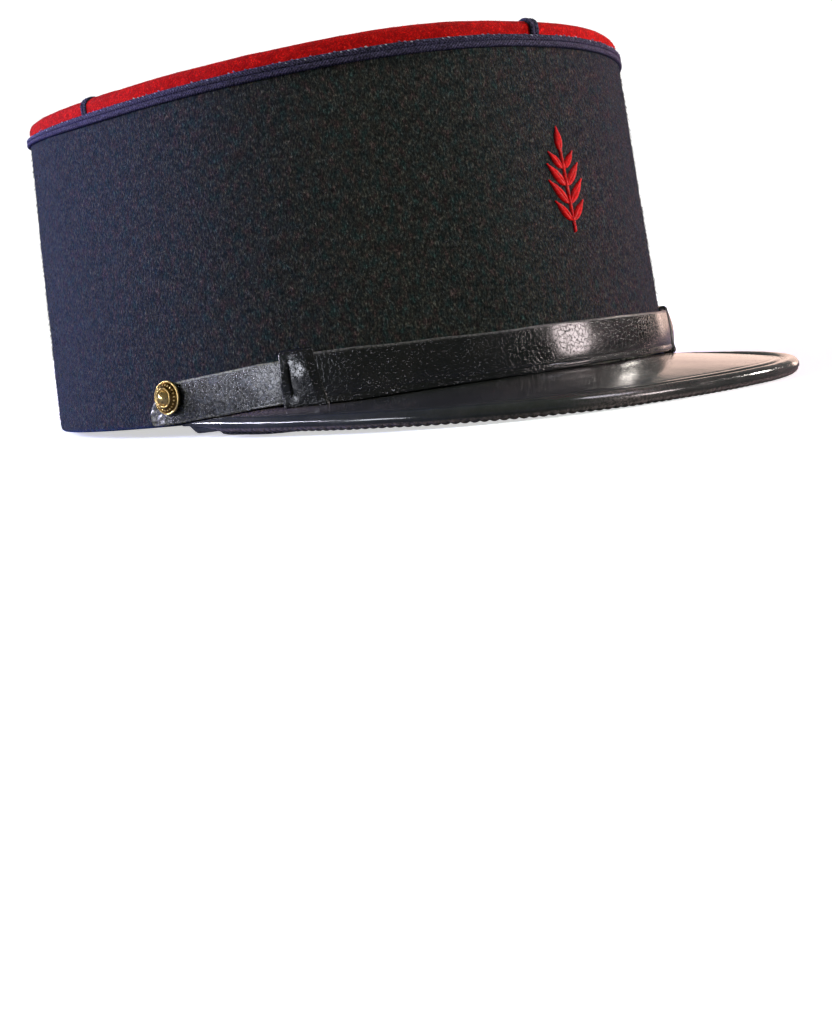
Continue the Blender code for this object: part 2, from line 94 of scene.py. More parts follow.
# Crown cloth
CROWN_COLUMNS = 640
CROWN_ROWS = 92
INNER_ROWS = 14
INNER_ROUGHNESS = 0.3           # share of the outside's waves
HEM_ROWS = 7
CLOTH_WAVES = ((0.026, 0.00022), (0.008, 0.00010), (0.0024, 0.00006))  # size of a wave, its depth
SEAM_GROOVE = 0.0005
SEAM_GROOVE_WIDTH = 0.0009
SEAM_SWELL = 0.00025
SEAM_SWELL_PLACE = 0.0032
SEAM_SWELL_WIDTH = 0.0022

# Red top
RIM_CENTRE_RISE = 0.0019
RIM_RADIUS_ACROSS = 0.0025
RIM_RADIUS_UP = 0.0022
RECESS_RISE = 0.0019
RECESS_FILLET = 0.0006
TOP_CLOTH = 0.0016
TOP_COLUMNS = 560
RIM_ROWS = 16
TOP_SIDE_ROWS = 8               # up the rim's outer side, where its waves go outwards and not up
RECESS_ROWS = 34
RECESS_REACH = 0.97             # how far from the rim to the middle its rows go
TOP_MIDDLE = np.array((0.0, TOP_SHIFT_BACK, CROWN_HEIGHT - CROWN_SIDE_DIP / 2 + RECESS_RISE))
TOP_WAVES = ((0.030, 0.00030), (0.007, 0.00010), (0.0022, 0.00005))
TOP_SEED = 11
TOP_UNDERSIDE_START = (0.55, 0.0001)  # share of the rim's breadth inwards, and height, over the wool

# Braid: two round ridges of plaited yarn
BRAID_HEIGHT = 0.0031
BRAID_THICKNESS = 0.0012
BRAID_BACK_SHARE = 0.68         # of its height, round the back, where it is pulled narrower
BRAID_BACK_START = math.radians(80)
BRAID_BACK_SPREAD = math.radians(45)
BRAID_GROOVE_SHADE = 0.80       # painted shade: paleness of the yarn in the groove, as a share of the ridges'
BRAID_GROOVE = 0.94             # height of the groove between the ridges, as a share of the thickness
BRAID_ROWS_A_RIDGE = 7
YARN_PITCH = 0.00090
YARN_DEPTH = 0.00042
YARN_SLANT = 0.95               # run along the braid, in pitches, from a ridge's middle to its side
YARN_GAP_SHADE = 0.10           # painted shade: the same in the gaps between yarns
RIDGE_FULLNESS = 2.6
SAMPLES_A_YARN = 5
BRAID_SEATING = 0.0002          # how far it is pressed into the cloth
CORD_WIDTH = 0.0027
CORD_THICKNESS = 0.0008
CORD_SPREAD = 0.12              # how much wider it is over the rim than at its ends
CORD_PATH_STEPS = 60
CORD_ANGLES = {"front": 0.0, "right": 90.7, "back": 180.0, "left": 270.0}
CORD_START_RISE = 0.0001

# Straps. Columns: angle in degrees, lower edge, upper edge, distance of its face from the cloth
STRAP_RIGHT_PATH = (
    (80.3, 0.0002, 0.0110, 0.0013),
    (70.0, 0.0010, 0.0121, 0.0013),
    (64.0, 0.0018, 0.0130, 0.0013),
    (57.0, 0.0025, 0.0138, 0.0026),
    (47.0, 0.0029, 0.0141, 0.0026),
    (36.0, 0.0030, 0.0141, 0.0014),
    (16.0, 0.0031, 0.0141, 0.0014),
    (8.0, 0.0025, 0.0140, 0.0015),
    (-8.0, 0.0025, 0.0140, 0.0015),
    (-18.0, 0.0031, 0.0139, 0.0014),
    (-42.7, 0.0030, 0.0139, 0.0014),
)
STRAP_LEFT_PATH = (
    (-80.3, 0.0002, 0.0110, 0.0013),
    (-70.0, 0.0010, 0.0121, 0.0013),
    (-58.0, 0.0024, 0.0137, 0.0013),
    (-50.0, 0.0031, 0.0143, 0.0017),
    (-41.0, 0.0032, 0.0144, 0.0018),
    (-20.0, 0.0032, 0.0144, 0.0024),
    (-5.0, 0.0032, 0.0145, 0.0026),
    (8.0, 0.0030, 0.0145, 0.0026),
    (23.0, 0.0027, 0.0146, 0.0026),
    (36.0, 0.0022, 0.0148, 0.0026),
    (46.0, 0.0017, 0.0150, 0.0039),
    (50.2, 0.0016, 0.0150, 0.0039),
)
STRAP_LEATHER = 0.0012
STRAP_CORNER = 0.00034
STRAP_SPACING = 0.0005
STRAP_END_ROUNDING = 0.0016     # at its button; the other end is hidden in a loop
STRAP_FACE_ROWS = 36
STRAP_CORNER_ROWS = 4
STRAP_SMOOTHING = 2.5           # degrees over which its table's bends are rounded
STRAP_WAVES = ((0.014, 0.00010), (0.004, 0.00003))
STRAP_CROWNING = (0.00016, 0.00026)  # how far each strap's face bulges: the right one, the left one
STRAP_LIP = 0.12                # share of the left strap's width below the groove along its lower edge
STRAP_LIP_GROOVE = 0.00020
STRAP_LIP_GROOVE_WIDTH = 0.18   # share of the lip
STRAP_LIP_SWELL = 0.00014
STRAP_LIP_PLACE = 6.5           # degrees round the crown where the lip is fullest, and its spread
STRAP_LIP_SPREAD = 7.0
STRAP_LIP_FAINT = 0.15          # share of it left elsewhere
STRAP_LIP_BULGE = 0.55          # power that draws the face's bulge down towards the lip
STRAP_END_CUT = 0.0052          # off the upper corner of its button end
STRAP_END_CUT_LENGTH = 0.0050
STRAP_END_NARROWING = 0.80      # share of its width left at its very end, and of its thickness
STRAP_END_THINNING = 0.5
STRAP_EDGE_WEAR_AND_HIGHLIGHT = (0.25, 0.8)   # of the lower edge of a strap with no lip, and of the upper edge, whose pale line is partly a painted highlight
STRAP_EDGE_WEAR_REACH = (0.03, 0.02)  # shares of its width
# Pale specks at the button end: partly worn, partly painted glints.
STRAP_END_WEAR_AND_GLINTS = 0.50
STRAP_END_PALE_LENGTH = 0.0095         # length of the end painted paler in specks, partly worn and partly painted glints
CRINKLE_REACH = 0.013           # of the crinkles from a strap's button end
CRINKLE_WAVES = ((0.0020, 0.00044), (0.0010, 0.00034))
STRAP_EDGE_WAVES = ((0.009, 0.00012), (0.003, 0.00003))

# Strap loops. Columns: name, angle where it starts, where it ends, lower edge, upper edge, distance of
# its face from the cloth, seed of its waves
STRAP_LOOPS = (
    ("strap_loop_right", 49.2, 54.8, 0.0013, 0.0163, 0.0039, 61),
    ("strap_loop_left", -47.4, -41.6, 0.0018, 0.0158, 0.0031, 71),
)
LOOP_BACK = 0.0002
LOOP_LEATHER = 0.0010
LOOP_CORNER = 0.0011
LOOP_PATH_STEPS = 96
LOOP_WAVES = ((0.0045, 0.00016), (0.0016, 0.00007))
LOOP_WEAR = 0.16
LOOP_WEAR_REACH = 0.03          # share of its width, from its edges
LOOP_EDGE_ROUNDING = 0.06       # share of its width
LOOP_EDGE_THINNING = 0.55       # share of its thickness left at its edges
LOOP_FRONT_DEPTH = 0.001        # behind its face, where its front side is taken to begin
LOOP_BACK_ROWS = 6
LOOP_ROWS = 44
# Columns: share of the loop's width from its front edge, how far its face stands out there
LOOP_FACETS = (
    (0.00, 0.0003),
    (0.14, 0.0007),
    (0.24, 0.0011),
    (0.40, 0.0010),
    (0.70, 0.0005),
    (0.80, 0.0006),
    (1.00, 0.0009),
)
LOOP_FULLEST = 0.54             # share of its height where its face stands out furthest
LOOP_FALL_BELOW = (0.95, 1.4)   # how much of that it loses towards its lower edge, and the fall's power
LOOP_FALL_ABOVE = (1.1, 1.6)
LOOP_SLIT_PLACE = 0.75
LOOP_SLIT_WIDTH = 0.00020
LOOP_SLIT_DEPTH = 0.0006
LOOP_SLIT_ENDS = (0.18, 0.80)   # shares of its height
LOOP_SLIT_FADE = 0.1
LOOP_SLANT = 1.6                # degrees that the front edge leans forwards towards the bottom
LOOP_CURL = 0.0005              # of its lower front corner
LOOP_CURL_HEIGHT = 0.02
LOOP_CURL_REACH = (0.16, 0.10)  # shares of its width and height

# Peak
PEAK_COLUMNS = 520
PEAK_PLATE_ROWS = 26
PEAK_UNDER_ROWS = 10
PEAK_CAMBER = 0.0003
PEAK_ROOT_RISE = 0.0015         # of its upper side against the crown, at the sides of the peak
PEAK_ROOT_ANGLE = math.radians(61)
PEAK_ROOT_SPREAD = math.radians(12)
PEAK_ROOT_REACH = (0.35, 0.6)   # share of the way in where the rise starts, and over how much it grows
PEAK_LINE_WEAR = 0.25           # of the pressed lines, and how high one stands to be worn that much
PEAK_LINE_WORN = 0.0002
PEAK_ROOT_WEAR = 0.8            # of the rise, and the share of the way in where it is worn that much
PEAK_ROOT_WORN = 0.4
PEAK_WAVES_START = 0.006        # distance in from the roll where the waves are full
PEAK_WAVES = ((0.022, 0.00016), (0.007, 0.00004))
PEAK_SEED = 21
PEAK_UNDERSIDE = (0.35, -0.5)   # over its middle, in thicknesses: at the peak's ends, elsewhere
# Lines pressed along the peak's edge. Columns: distance in from the roll's middle, half width, height
PEAK_LINES = (
    (0.0023, 0.0004, -0.00034),
    (0.0032, 0.0007, 0.00006),
    (0.0043, 0.0004, -0.00007),
)
PEAK_STITCH_PLACE = 0.0026
PEAK_STITCH_SPACING = 0.00125
PEAK_STITCH_LENGTH = 0.0008
PEAK_STITCH_RADIUS = 0.00011
PEAK_STITCH_SINK = 0.6          # share of the groove's depth
PEAK_STITCH_ARCH = 0.00014
PEAK_INTO_ROLL = 0.4            # where its leather starts, as a share of the roll's radius
PEAK_FINE_EDGE = 0.0058
PEAK_FINE_STEP = 0.00021
FLOOR_GAP = 0.00002
ROLL_COLUMNS = 1200
ROLL_SIDES = 36
ROLL_WAVES = ((0.010, 0.00006), (0.003, 0.00003))
ROLL_SEED = 31
SCALLOP_PITCH = 0.0023
NOTCH_DEPTH = 0.00055
NOTCH_SHARPNESS = 0.6
SCALLOP_DIRECTION = math.radians(-80)
SCALLOP_SPREAD = math.radians(36)
ROLL_GROOVE_DEPTH = 0.00022
ROLL_GROOVE_DIRECTION = math.radians(-24)
ROLL_GROOVE_SPREAD = math.radians(10)
ROLL_DULL_END = math.radians(-120)  # direction down to which, below its groove, it is duller and painted browner, the brown a painted reflection
ROLL_DULL_PLACE = math.radians(14)  # turn at which the roll is scuffed
ROLL_DULL_SPREAD = math.radians(7)
ROLL_DULLNESS = 0.7
FLAP_WIDTH = 0.0062
FLAP_THICKNESS = 0.0007
FLAP_END_THINNING = 0.3         # share of its thickness left at its ends
FLAP_WIDENING = (0.03, 0.15)    # share of its length over which it widens, and of that done at its ends
FLAP_DROP = (-0.0008, 0.0005)   # how far it lies under the roll: along its middle, near its ends
FLAP_LIFT = 0.0008              # of its inner edge
FLAP_CUT = 0.0052               # length of its slanting ends
FLAP_SHOWN = (0.020, 0.050)     # from its ends: where the drop starts to fade, where it has gone
FLAP_ENDS = math.radians(87.2)

# Buttons. Profile columns: radius, height over the button's back
BUTTON_ANGLE = 75.85
BUTTON_HEIGHT = 0.0077
BUTTON_SEAT = 0.0013
BUTTON_SIDES = 96
BUTTON_PROFILE = (
    (0.00010, 0.00402), (0.00045, 0.00398), (0.00090, 0.00380), (0.00130, 0.00352),
    (0.00164, 0.00316), (0.00188, 0.00282), (0.00202, 0.00266), (0.00214, 0.00266),
    (0.00226, 0.00280), (0.00238, 0.00292), (0.00250, 0.00294), (0.00262, 0.00284),
    (0.00272, 0.00262), (0.00284, 0.00244), (0.00316, 0.00216), (0.00352, 0.00186),
    (0.00388, 0.00154), (0.00402, 0.00146), (0.00412, 0.00154), (0.00424, 0.00166),
    (0.00436, 0.00168), (0.00448, 0.00158), (0.00457, 0.00140), (0.00460, 0.00116),
    (0.00454, 0.00078), (0.00432, 0.00040), (0.00380, 0.00014), (0.00310, 0.0),
    (0.00010, 0.0),
)
BUTTON_GROOVES = ((0.0019, 0.0022), (0.0027, 0.0041))  # radii where its face is painted dark, as patina and painted shade
# How polished the grooves and the back look: low, for patina and painted shade.
BUTTON_GROOVE_POLISH_AND_SHADE = 0.06
BUTTON_BACK_ROWS = 6
BUTTON_BACK_POLISH_AND_SHADE = 0.1
PELLETS = 22
PELLET_RING = 0.00336
PELLET_RADIUS = 0.00026
PELLET_SIDES = 10
PELLET_RISE = 0.00196
PELLET_POLISH = 0.9

# Emblem: an upright sprig with paired leaves, in satin stitch over a padded ground
SPRIG_FOOT_HEIGHT = 0.0375
SPRIG_X = 0.0009
SPRIG_HEIGHT = 0.0280
SPRIG_STEM_RADIUS = 0.00062
SPRIG_STEM_RISE = 0.00055
STEM_THREAD_RUN = 0.0008        # how much higher a stem thread ends than it starts
STEM_IN_LEAF = 0.001            # how far the stem runs on into the top leaf
LEAF_ANGLE = math.radians(42)
LEAF_FULLNESS = 0.8
LEAF_JOINT_ASIDE = 0.0004       # of a leaf's joint from the stem's middle
LEAF_OVERLAP = 0.12             # share of its half width by which its threads start past its middle
LEAF_EDGE_RISE = 0.35           # least rise of its threads, as a share of the greatest
LEAF_RISE_START = 0.08          # how far ahead of its place along the leaf a thread's rise is taken
# Columns: height of the leaf's joint over the foot, leaf length, leaf half width
SPRIG_LEAVES = (
    (0.0032, 0.0072, 0.00125),
    (0.0077, 0.0086, 0.00135),
    (0.0124, 0.0080, 0.00135),
    (0.0169, 0.0062, 0.00115),
)
TIP_LEAF_LENGTH = 0.0066
TIP_LEAF_HALF_WIDTH = 0.00145
THREAD_RADIUS = 0.00016
THREAD_END_THINNING = 0.8       # share of its radius left at its ends
THREAD_SIDES = 6
THREAD_SPACING = 0.00029
STEM_THREAD_SPACING = 1.5 * THREAD_SPACING
THREAD_RISE = 0.00075           # of the leaf's padded middle
THREAD_PROFILE = (0.45, 0.9, 1.0, 0.95, 0.75, 0.45, 0.0)  # shares of its rise along a thread
THREAD_SLANT = 0.0011           # how far a thread's outer end lies ahead of its inner end
THREAD_OFF_CLOTH = 0.00005

# Loose fibres. Columns of each: count, shortest and longest, radius, greatest slope off the cloth
NAP = (24000, 0.0007, 0.0019, 0.000042, 0.45)
RED_NAP = (7000, 0.0004, 0.0011, 0.000028, 0.35)
LINT = (34, 0.0008, 0.0024, 0.000040, 0.3)
NAP_SEED = 7
RED_NAP_SEED = 19
LINT_MARGIN = 0.018             # over the bottom edge
FIBRE_LEAN = 0.75
FIBRE_BEND = 0.16
FIBRE_ROOT_DEPTH = 0.00005
FIBRE_LEAST_SLOPE = 0.05
FIBRE_MIDDLE = (0.5, 0.55)      # shares of its run and of its slope at its bend
FIBRE_TIP_REACH = 0.96          # share of its length
FIBRE_TIP_LIFTS = (0.1, 1.0)    # least and greatest share of its slope at its tip
FIBRE_RADII = (0.7, 1.2)        # thinnest and thickest, as shares of the radius
FIBRE_SIDES = 3
STITCH_SEED = 23
STITCH_SPACING = 0.0017
STITCH_UNEVENNESS = 0.0001      # of their spacing
STITCH_LENGTH = 0.0009
STITCH_RADIUS = 0.00017
STITCH_DROP = 0.00032           # of the stitches below the braid's upper edge, and how far that varies
STITCH_SCATTER = 0.00020
STITCH_SLANT = 0.0004
STITCH_OUT = 0.00072            # from the cloth, at its ends, and how far it arches over that
STITCH_ARCH = 0.00022

# Camera, at the photo's place
CAMERA_PLACE = (-0.31554, -0.37840, 0.03018)
CAMERA_ANGLES = (82.580, 5.940, -40.960)
CAMERA_FOCAL_MM = 57.36
SENSOR_MM = 36.0

# Soft lights. Columns: name, azimuth (0 at the front, 90 at +X), elevation, distance, width, height,
# power, colour, what it lights: matt surfaces or gloss
SOFTBOXES = (
    ("key", 31.5, 11.0, 1.5, 0.40, 0.36, 20.0, (0.88, 0.99, 0.96), "matt"),
    ("key_gloss", 31.5, 11.0, 1.45, 0.39, 0.35, 9.6, (1.0, 0.86, 0.86), "gloss"),
    ("left", -118.0, 20.0, 1.6, 0.80, 0.50, 29.0, (0.94, 1.0, 0.77), "matt"),
    ("left_low", -94.0, 6.0, 1.5, 0.58, 0.36, 10.0, (0.87, 0.90, 1.0), "gloss"),
    ("back_left", -142.0, 12.0, 1.7, 1.06, 0.53, 54.0, (0.08, 0.09, 1.0), "matt"),
    ("back_strip", -142.0, 15.0, 1.6, 1.90, 0.05, 34.0, (0.84, 0.84, 1.0), "gloss"),
    ("key_high", 31.5, 50.0, 1.5, 0.50, 0.50, 9.0, (0.92, 0.88, 1.0), "gloss"),
    ("right", 80.0, 14.0, 1.6, 0.70, 0.50, 21.0, (1.0, 0.26, 0.50), "matt"),
    ("right_low", 122.0, 6.0, 1.5, 1.40, 0.46, 2.0, (1.0, 0.66, 0.54), "gloss"),
    ("right_side", 101.0, 3.0, 1.5, 0.20, 0.36, 0.6, (1.0, 0.72, 0.62), "gloss"),
    ("right_high", 70.0, 21.0, 1.5, 0.26, 0.24, 11.0, (1.0, 0.93, 0.86), "gloss"),
)
LIGHT_TARGET = (0.0, 0.0, 0.05)
WORLD_SEEN = 1.1
WORLD_FRONT = 0.118
WORLD_BACK = 0.29
WORLD_TURN = (0.35, 0.95)       # cosines of the angle from straight behind between which it changes
WORLD_FRONT_COLOUR = (0.50, 1.0, 0.90)
WORLD_BACK_COLOUR = (0.45, 0.90, 1.0)
WORLD_GLOSS_COLOUR = (0.90, 0.92, 0.86)
FLOOR_HALF = 1.6
FLOOR_SEEN = 0.90
FLOOR_GLOW = 0.60
FLOOR_GLOW_FAR = 1.2
FLOOR_GLOW_PLACES = (0.25, 0.9 * FLOOR_HALF)  # distances between which its glow grows
FLOOR_LIT = 0.25

SMALL = 1e-3
SMOOTH_ANGLE = math.radians(50)


# Arrays and noise

def mix(a, b, share):
    return a + (b - a) * share


def smoothstep(share):
    share = np.clip(share, 0.0, 1.0)
    return share * share * (3 - 2 * share)


def unit(vectors):
    return vectors / np.linalg.norm(vectors, axis=-1, keepdims=True)


def noise(points, seed):
    """Smooth noise between -1 and 1 over points given in wavelengths, the same in each run."""
    cell = np.floor(points).astype(np.int64)
    inside = smoothstep(points - cell)
    total = np.zeros(points.shape[:-1])
    for corner in np.ndindex(2, 2, 2):
        at = cell + np.array(corner)
        mixed = at[..., 0] * 73856093 ^ at[..., 1] * 19349663 ^ at[..., 2] * 83492791 ^ seed * 7919
        mixed = (mixed ^ (mixed >> 13)) * 1274126177 & 0x7FFFFFFF
        mixed = (mixed ^ (mixed >> 15)) & 0xFFFF
        weight = np.prod(np.where(corner, inside, 1 - inside), axis=-1)
        total += weight * (mixed / 32767.5 - 1)
    return total


def waves(points, table, seed=0):
    """Sum of noises, one for each row of wavelength and depth."""
    return sum(depth * noise(points / size, seed + k) for k, (size, depth) in enumerate(table))


def bell(distance, width):
    return np.exp(-(distance / width) ** 2)


def rounded_end(share):
    """A quarter circle's rise from 0 to 1, as a share grows from 0 to 1."""
    return np.sqrt(np.clip(1 - (1 - share).clip(0, 1) ** 2, 0, 1))


def turned_from(angle, direction=0.0):
    """Angle from a direction, between -180 and 180 degrees."""
    return np.angle(np.exp(1j * (angle - direction)))


def all_round(count, first=0.0):
    """Directions evenly spaced once round, from a share of a step on."""
    return 2 * math.pi * (np.arange(count) + first) / count


def lengths_along(points):
    """Distance run along a line of points, from 0, in metres."""
    return np.concatenate(((0.0,), np.cumsum(np.linalg.norm(np.diff(points, axis=0), axis=-1))))


def at_lengths(points, run, wanted):
    """Points of a line at the wanted distances along it."""
    return np.stack([np.interp(wanted, run, values) for values in points.T], 1)


# The crown's surface

def superellipse(angle, half_length, half_width, power):
    """Plan point at an angle from the front (-Y) towards the wearer's right (-X)."""
    across, along = np.sin(angle), np.cos(angle)
    x = -half_width * np.sign(across) * np.abs(across) ** (2 / power)
    y = -half_length * np.sign(along) * np.abs(along) ** (2 / power)
    return x, y


def crown_height(angle):
    x, y = superellipse(angle, TOP_HALF_LENGTH, TOP_HALF_WIDTH, TOP_POWER)
    return CROWN_HEIGHT + CROWN_RISE_TO_BACK * y - CROWN_SIDE_DIP * (x / TOP_HALF_WIDTH) ** 2


def hem_height(angle):
    arch = (np.cos(angle) - math.cos(HEM_ARCH_END)) / (1 - math.cos(HEM_ARCH_END))
    return HEM_FRONT_RISE * np.maximum(arch, 0.0) ** HEM_ARCH_POWER


def crown_point(angle, share):
    x, y = superellipse(
        angle,
        mix(BOTTOM_HALF_LENGTH, TOP_HALF_LENGTH, share),
        mix(BOTTOM_HALF_WIDTH, TOP_HALF_WIDTH, share),
        mix(BOTTOM_POWER, TOP_POWER, share),
    )
    return np.stack((x, y + TOP_SHIFT_BACK * share, crown_height(angle) * share), -1)


def crown_axes(angle, share):
    """Unit directions at a place of the crown: round it, and out of the cloth."""
    along = crown_point(angle + SMALL, share) - crown_point(angle - SMALL, share)
    upward = crown_point(angle, share + SMALL) - crown_point(angle, share - SMALL)
    return unit(along), unit(np.cross(upward, along))


def on_crown(angle, height, out):
    """Points at a height over the bottom edge and a distance out from the cloth."""
    angle, height, out = np.broadcast_arrays(angle, height, out)
    share = height / crown_height(angle)
    return crown_point(angle, share) + out[..., None] * crown_axes(angle, share)[1]


def on_rim(angle, inset, rise, sideways=0.0):
    """Points over the cloth's top edge: inwards, upwards and sideways from it."""
    angle, inset, rise, sideways = np.broadcast_arrays(angle, inset, rise, sideways)
    share = np.ones(angle.shape)
    along = crown_axes(angle, share)[0]
    inward = unit(np.cross(along, UP))
    place = crown_point(angle, share)
    return place + inset[..., None] * inward + rise[..., None] * UP + sideways[..., None] * along


def rim_curve(turn):
    """Inset and rise of the red rim's round, from its outer side (180 degrees) to its inner one."""
    return RIM_RADIUS_ACROSS * (1 + np.cos(turn)), RIM_CENTRE_RISE + RIM_RADIUS_UP * np.sin(turn)


FINE_ANGLES = np.linspace(0, 2 * math.pi, 20001)
FINE_PLACES = lengths_along(crown_point(FINE_ANGLES, np.full(FINE_ANGLES.shape, 0.5)))
CROWN_ROUND = FINE_PLACES[-1]


def place_of(angle):
    """How far round the crown an angle lies, in metres from the front."""
    turns = np.floor(angle / (2 * math.pi))
    return turns * CROWN_ROUND + np.interp(angle - turns * 2 * math.pi, FINE_ANGLES, FINE_PLACES)


def angle_of(place):
    turns = np.floor(place / CROWN_ROUND)
    return turns * 2 * math.pi + np.interp(place - turns * CROWN_ROUND, FINE_PLACES, FINE_ANGLES)


def ring_angles(count):
    """Angles evenly spaced along the cloth, once round from the back."""
    return angle_of(CROWN_ROUND / 2 + CROWN_ROUND * np.arange(count) / count)


def to_world(points):
    """From the crown's upright frame to the cap as it rests."""
    y, z = points[..., 1], points[..., 2]
    return np.stack((
        points[..., 0],
        y * math.cos(PITCH) + z * math.sin(PITCH) + POSE_Y,
        z * math.cos(PITCH) - y * math.sin(PITCH) + POSE_Z,
    ), -1)


# Meshes and pieces

def make_mesh(points, groups, maps):
    """A mesh from points and arrays of equal-sided faces, with the cloth map of each face's corners."""
    mesh = bpy.data.meshes.new("piece")
    points = to_world(np.asarray(points, float).reshape(-1, 3))
    volume = 0.0
    for faces in groups:
        for k in range(1, faces.shape[1] - 1):
            a, b, c = points[faces[:, 0]], points[faces[:, k]], points[faces[:, k + 1]]
            volume += float(np.sum(a * np.cross(b, c)))
    if volume < 0:
        groups = [faces[:, ::-1] for faces in groups]
        maps = [places[:, ::-1] for places in maps]
    corners = np.concatenate([faces.ravel() for faces in groups]).astype(np.int32)
    sizes = np.concatenate([np.full(len(faces), faces.shape[1]) for faces in groups])
    mesh.vertices.add(len(points))
    mesh.vertices.foreach_set("co", points.astype(np.float32).ravel())
    mesh.loops.add(len(corners))
    mesh.loops.foreach_set("vertex_index", corners)
    mesh.polygons.add(len(sizes))
    mesh.polygons.foreach_set("loop_start", (np.cumsum(sizes) - sizes).astype(np.int32))
    mesh.update(calc_edges=True)
    layer = mesh.uv_layers.new(name="cloth")
    places = np.concatenate([part.reshape(-1, 2) for part in maps]).astype(np.float32)
    layer.uv.foreach_set("vector", places.ravel())
    return mesh


def swept_faces(count, sides, is_ring, along, around):
    """Faces and cloth places of a body swept through closed sections, a ring or capped at its ends."""
    i, j = np.meshgrid(np.arange(count if is_ring else count - 1), np.arange(sides), indexing="ij")
    i = np.stack((i.ravel(), i.ravel() + 1, i.ravel() + 1, i.ravel()), 1)
    j = np.stack((j.ravel(), j.ravel(), j.ravel() + 1, j.ravel() + 1), 1)
    groups = [(i % count) * sides + j % sides]
    maps = [np.stack((along[i], around[j]), -1)]
    if not is_ring:
        side = np.arange(sides)
        last = (count - 1) * sides
        groups.append(np.stack((side[::-1], last + side)))
        maps.append(np.stack((
            np.stack((np.full(sides, along[0]), around[side[::-1]]), -1),
            np.stack((np.full(sides, along[count - 1]), around[side]), -1),
        )))
    return groups, maps


def swept(sections, is_ring=False, along=None, wear_and_painted_light=None):
    """A closed mesh through sections, an array of count x sides x 3."""
    count, sides = sections.shape[:2]
    middle = np.concatenate((sections[count // 2], sections[count // 2, :1]))
    around = lengths_along(middle)
    if along is None:
        centres = sections.mean(axis=1)
        along = lengths_along(np.concatenate((centres, centres[:1])))
    groups, maps = swept_faces(count, sides, is_ring, along, around)
    mesh = make_mesh(sections, groups, maps)
    if wear_and_painted_light is not None:
        set_wear_and_painted_light(mesh, wear_and_painted_light)
    return mesh


def set_wear_and_painted_light(mesh, wear_and_painted_light):
    """Gives each of a mesh's points the share that its material reads: how worn the leather is and how
    polished the brass, and painted light: painted shade on the braid and the buttons, a painted
    highlight and a painted reflection on the leather.
    """
    layer = mesh.attributes.new("wear_and_painted_light", "FLOAT", "POINT")
    layer.data.foreach_set("value", np.asarray(wear_and_painted_light, np.float32).ravel())


def blunt_radii(radius, count, rings):
    """Radii of threads that are a little thinner at both ends."""
    shares = np.ones(rings)
    shares[[0, -1]] = THREAD_END_THINNING
    return radius * shares[None] * np.ones((count, 1))


def strands(paths, radii, outward, sides, tones=None):
    """Thin threads, pointed at both ends: paths is count x steps x 3, outward count x 3."""
    count, steps = paths.shape[:2]
    ahead = unit(paths[:, 2:] - paths[:, :-2])
    out = outward[:, None, :] - ahead * np.sum(outward[:, None, :] * ahead, -1, keepdims=True)
    out = unit(out)
    sideways = np.cross(ahead, out)
    turn = all_round(sides, 0.5)
    rings = (
        paths[:, 1:-1, None, :]
        + radii[..., None, None] * np.cos(turn)[:, None] * out[:, :, None, :]
        + radii[..., None, None] * np.sin(turn)[:, None] * sideways[:, :, None, :]
    )
    inner = (steps - 2) * sides
    points = np.concatenate((paths[:, :1], rings.reshape(count, inner, 3), paths[:, -1:]), axis=1)
    start = np.arange(count)[:, None] * (inner + 2)
    side = np.arange(sides)
    following = (side + 1) % sides
    tip = inner + 1
    root_faces = np.stack((np.zeros(sides, int), 1 + following, 1 + side), 1)
    last = 1 + inner - sides
    tip_faces = np.stack((np.full(sides, tip), last + side, last + following), 1)
    ends = np.concatenate((root_faces, tip_faces))
    groups = [(start[:, :, None] + ends[None]).reshape(-1, 3)]
    if steps > 3:
        ring = np.arange(steps - 3)[:, None] * sides + 1
        walls = np.stack((
            ring + side, ring + following, ring + sides + following, ring + sides + side,
        ), -1).reshape(-1, 4)
        groups.append((start[:, :, None] + walls[None]).reshape(-1, 4))
    if tones is None:
        tones = np.linspace(0, 1, count)
    share = np.concatenate(((0.0,), np.repeat(np.linspace(0, 1, steps)[1:-1], sides), (1.0,)))
    flat = np.stack(np.broadcast_arrays(tones[:, None], share[None]), -1).reshape(-1, 2)
    return make_mesh(points, groups, [flat[faces] for faces in groups])


def add_object(name, data):
    made = bpy.data.objects.new(name, data)
    bpy.context.scene.collection.objects.link(made)
    return made


def add_piece(name, mesh, material, slot, *nodes):
    """Shows a mesh as a piece of the cap, in place of the solids it stands for."""
    mesh.name = name
    piece = add_object(name, mesh)
    mesh.materials.append(material)
    mesh.shade_smooth()
    mesh.set_sharp_from_angle(angle=SMOOTH_ANGLE)
    if nodes:
        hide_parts(*nodes)
    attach(piece, "root")


# Materials

def feed(tree, made, inputs):
    """Links each input given as another node's socket, and sets the others to their values."""
    for key, value in dict(inputs).items():
        if isinstance(value, bpy.types.NodeSocket):
            tree.links.new(value, made.inputs[key])
        else:
            made.inputs[key].default_value = value


def node(tree, kind, inputs=(), **settings):
    """A shader node of a kind, with its settings and what feeds its inputs."""
    made = tree.nodes.new("ShaderNode" + kind)
    for name, value in settings.items():
        setattr(made, name, value)
    feed(tree, made, inputs)
    return made


def opaque(colour):
    """A colour of three numbers with its alpha; a socket stays as it is."""
    return (*colour, 1.0) if isinstance(colour, tuple) else colour


def cloth_map(tree, across, upward):
    """Places on the cloth in millimetres, stretched as asked."""
    places = node(tree, "UVMap", uv_map="cloth")
    return node(tree, "Mapping", {
        "Vector": places.outputs["UV"],
        "Scale": (across / MM, upward / MM, 1.0),
    }).outputs["Vector"]


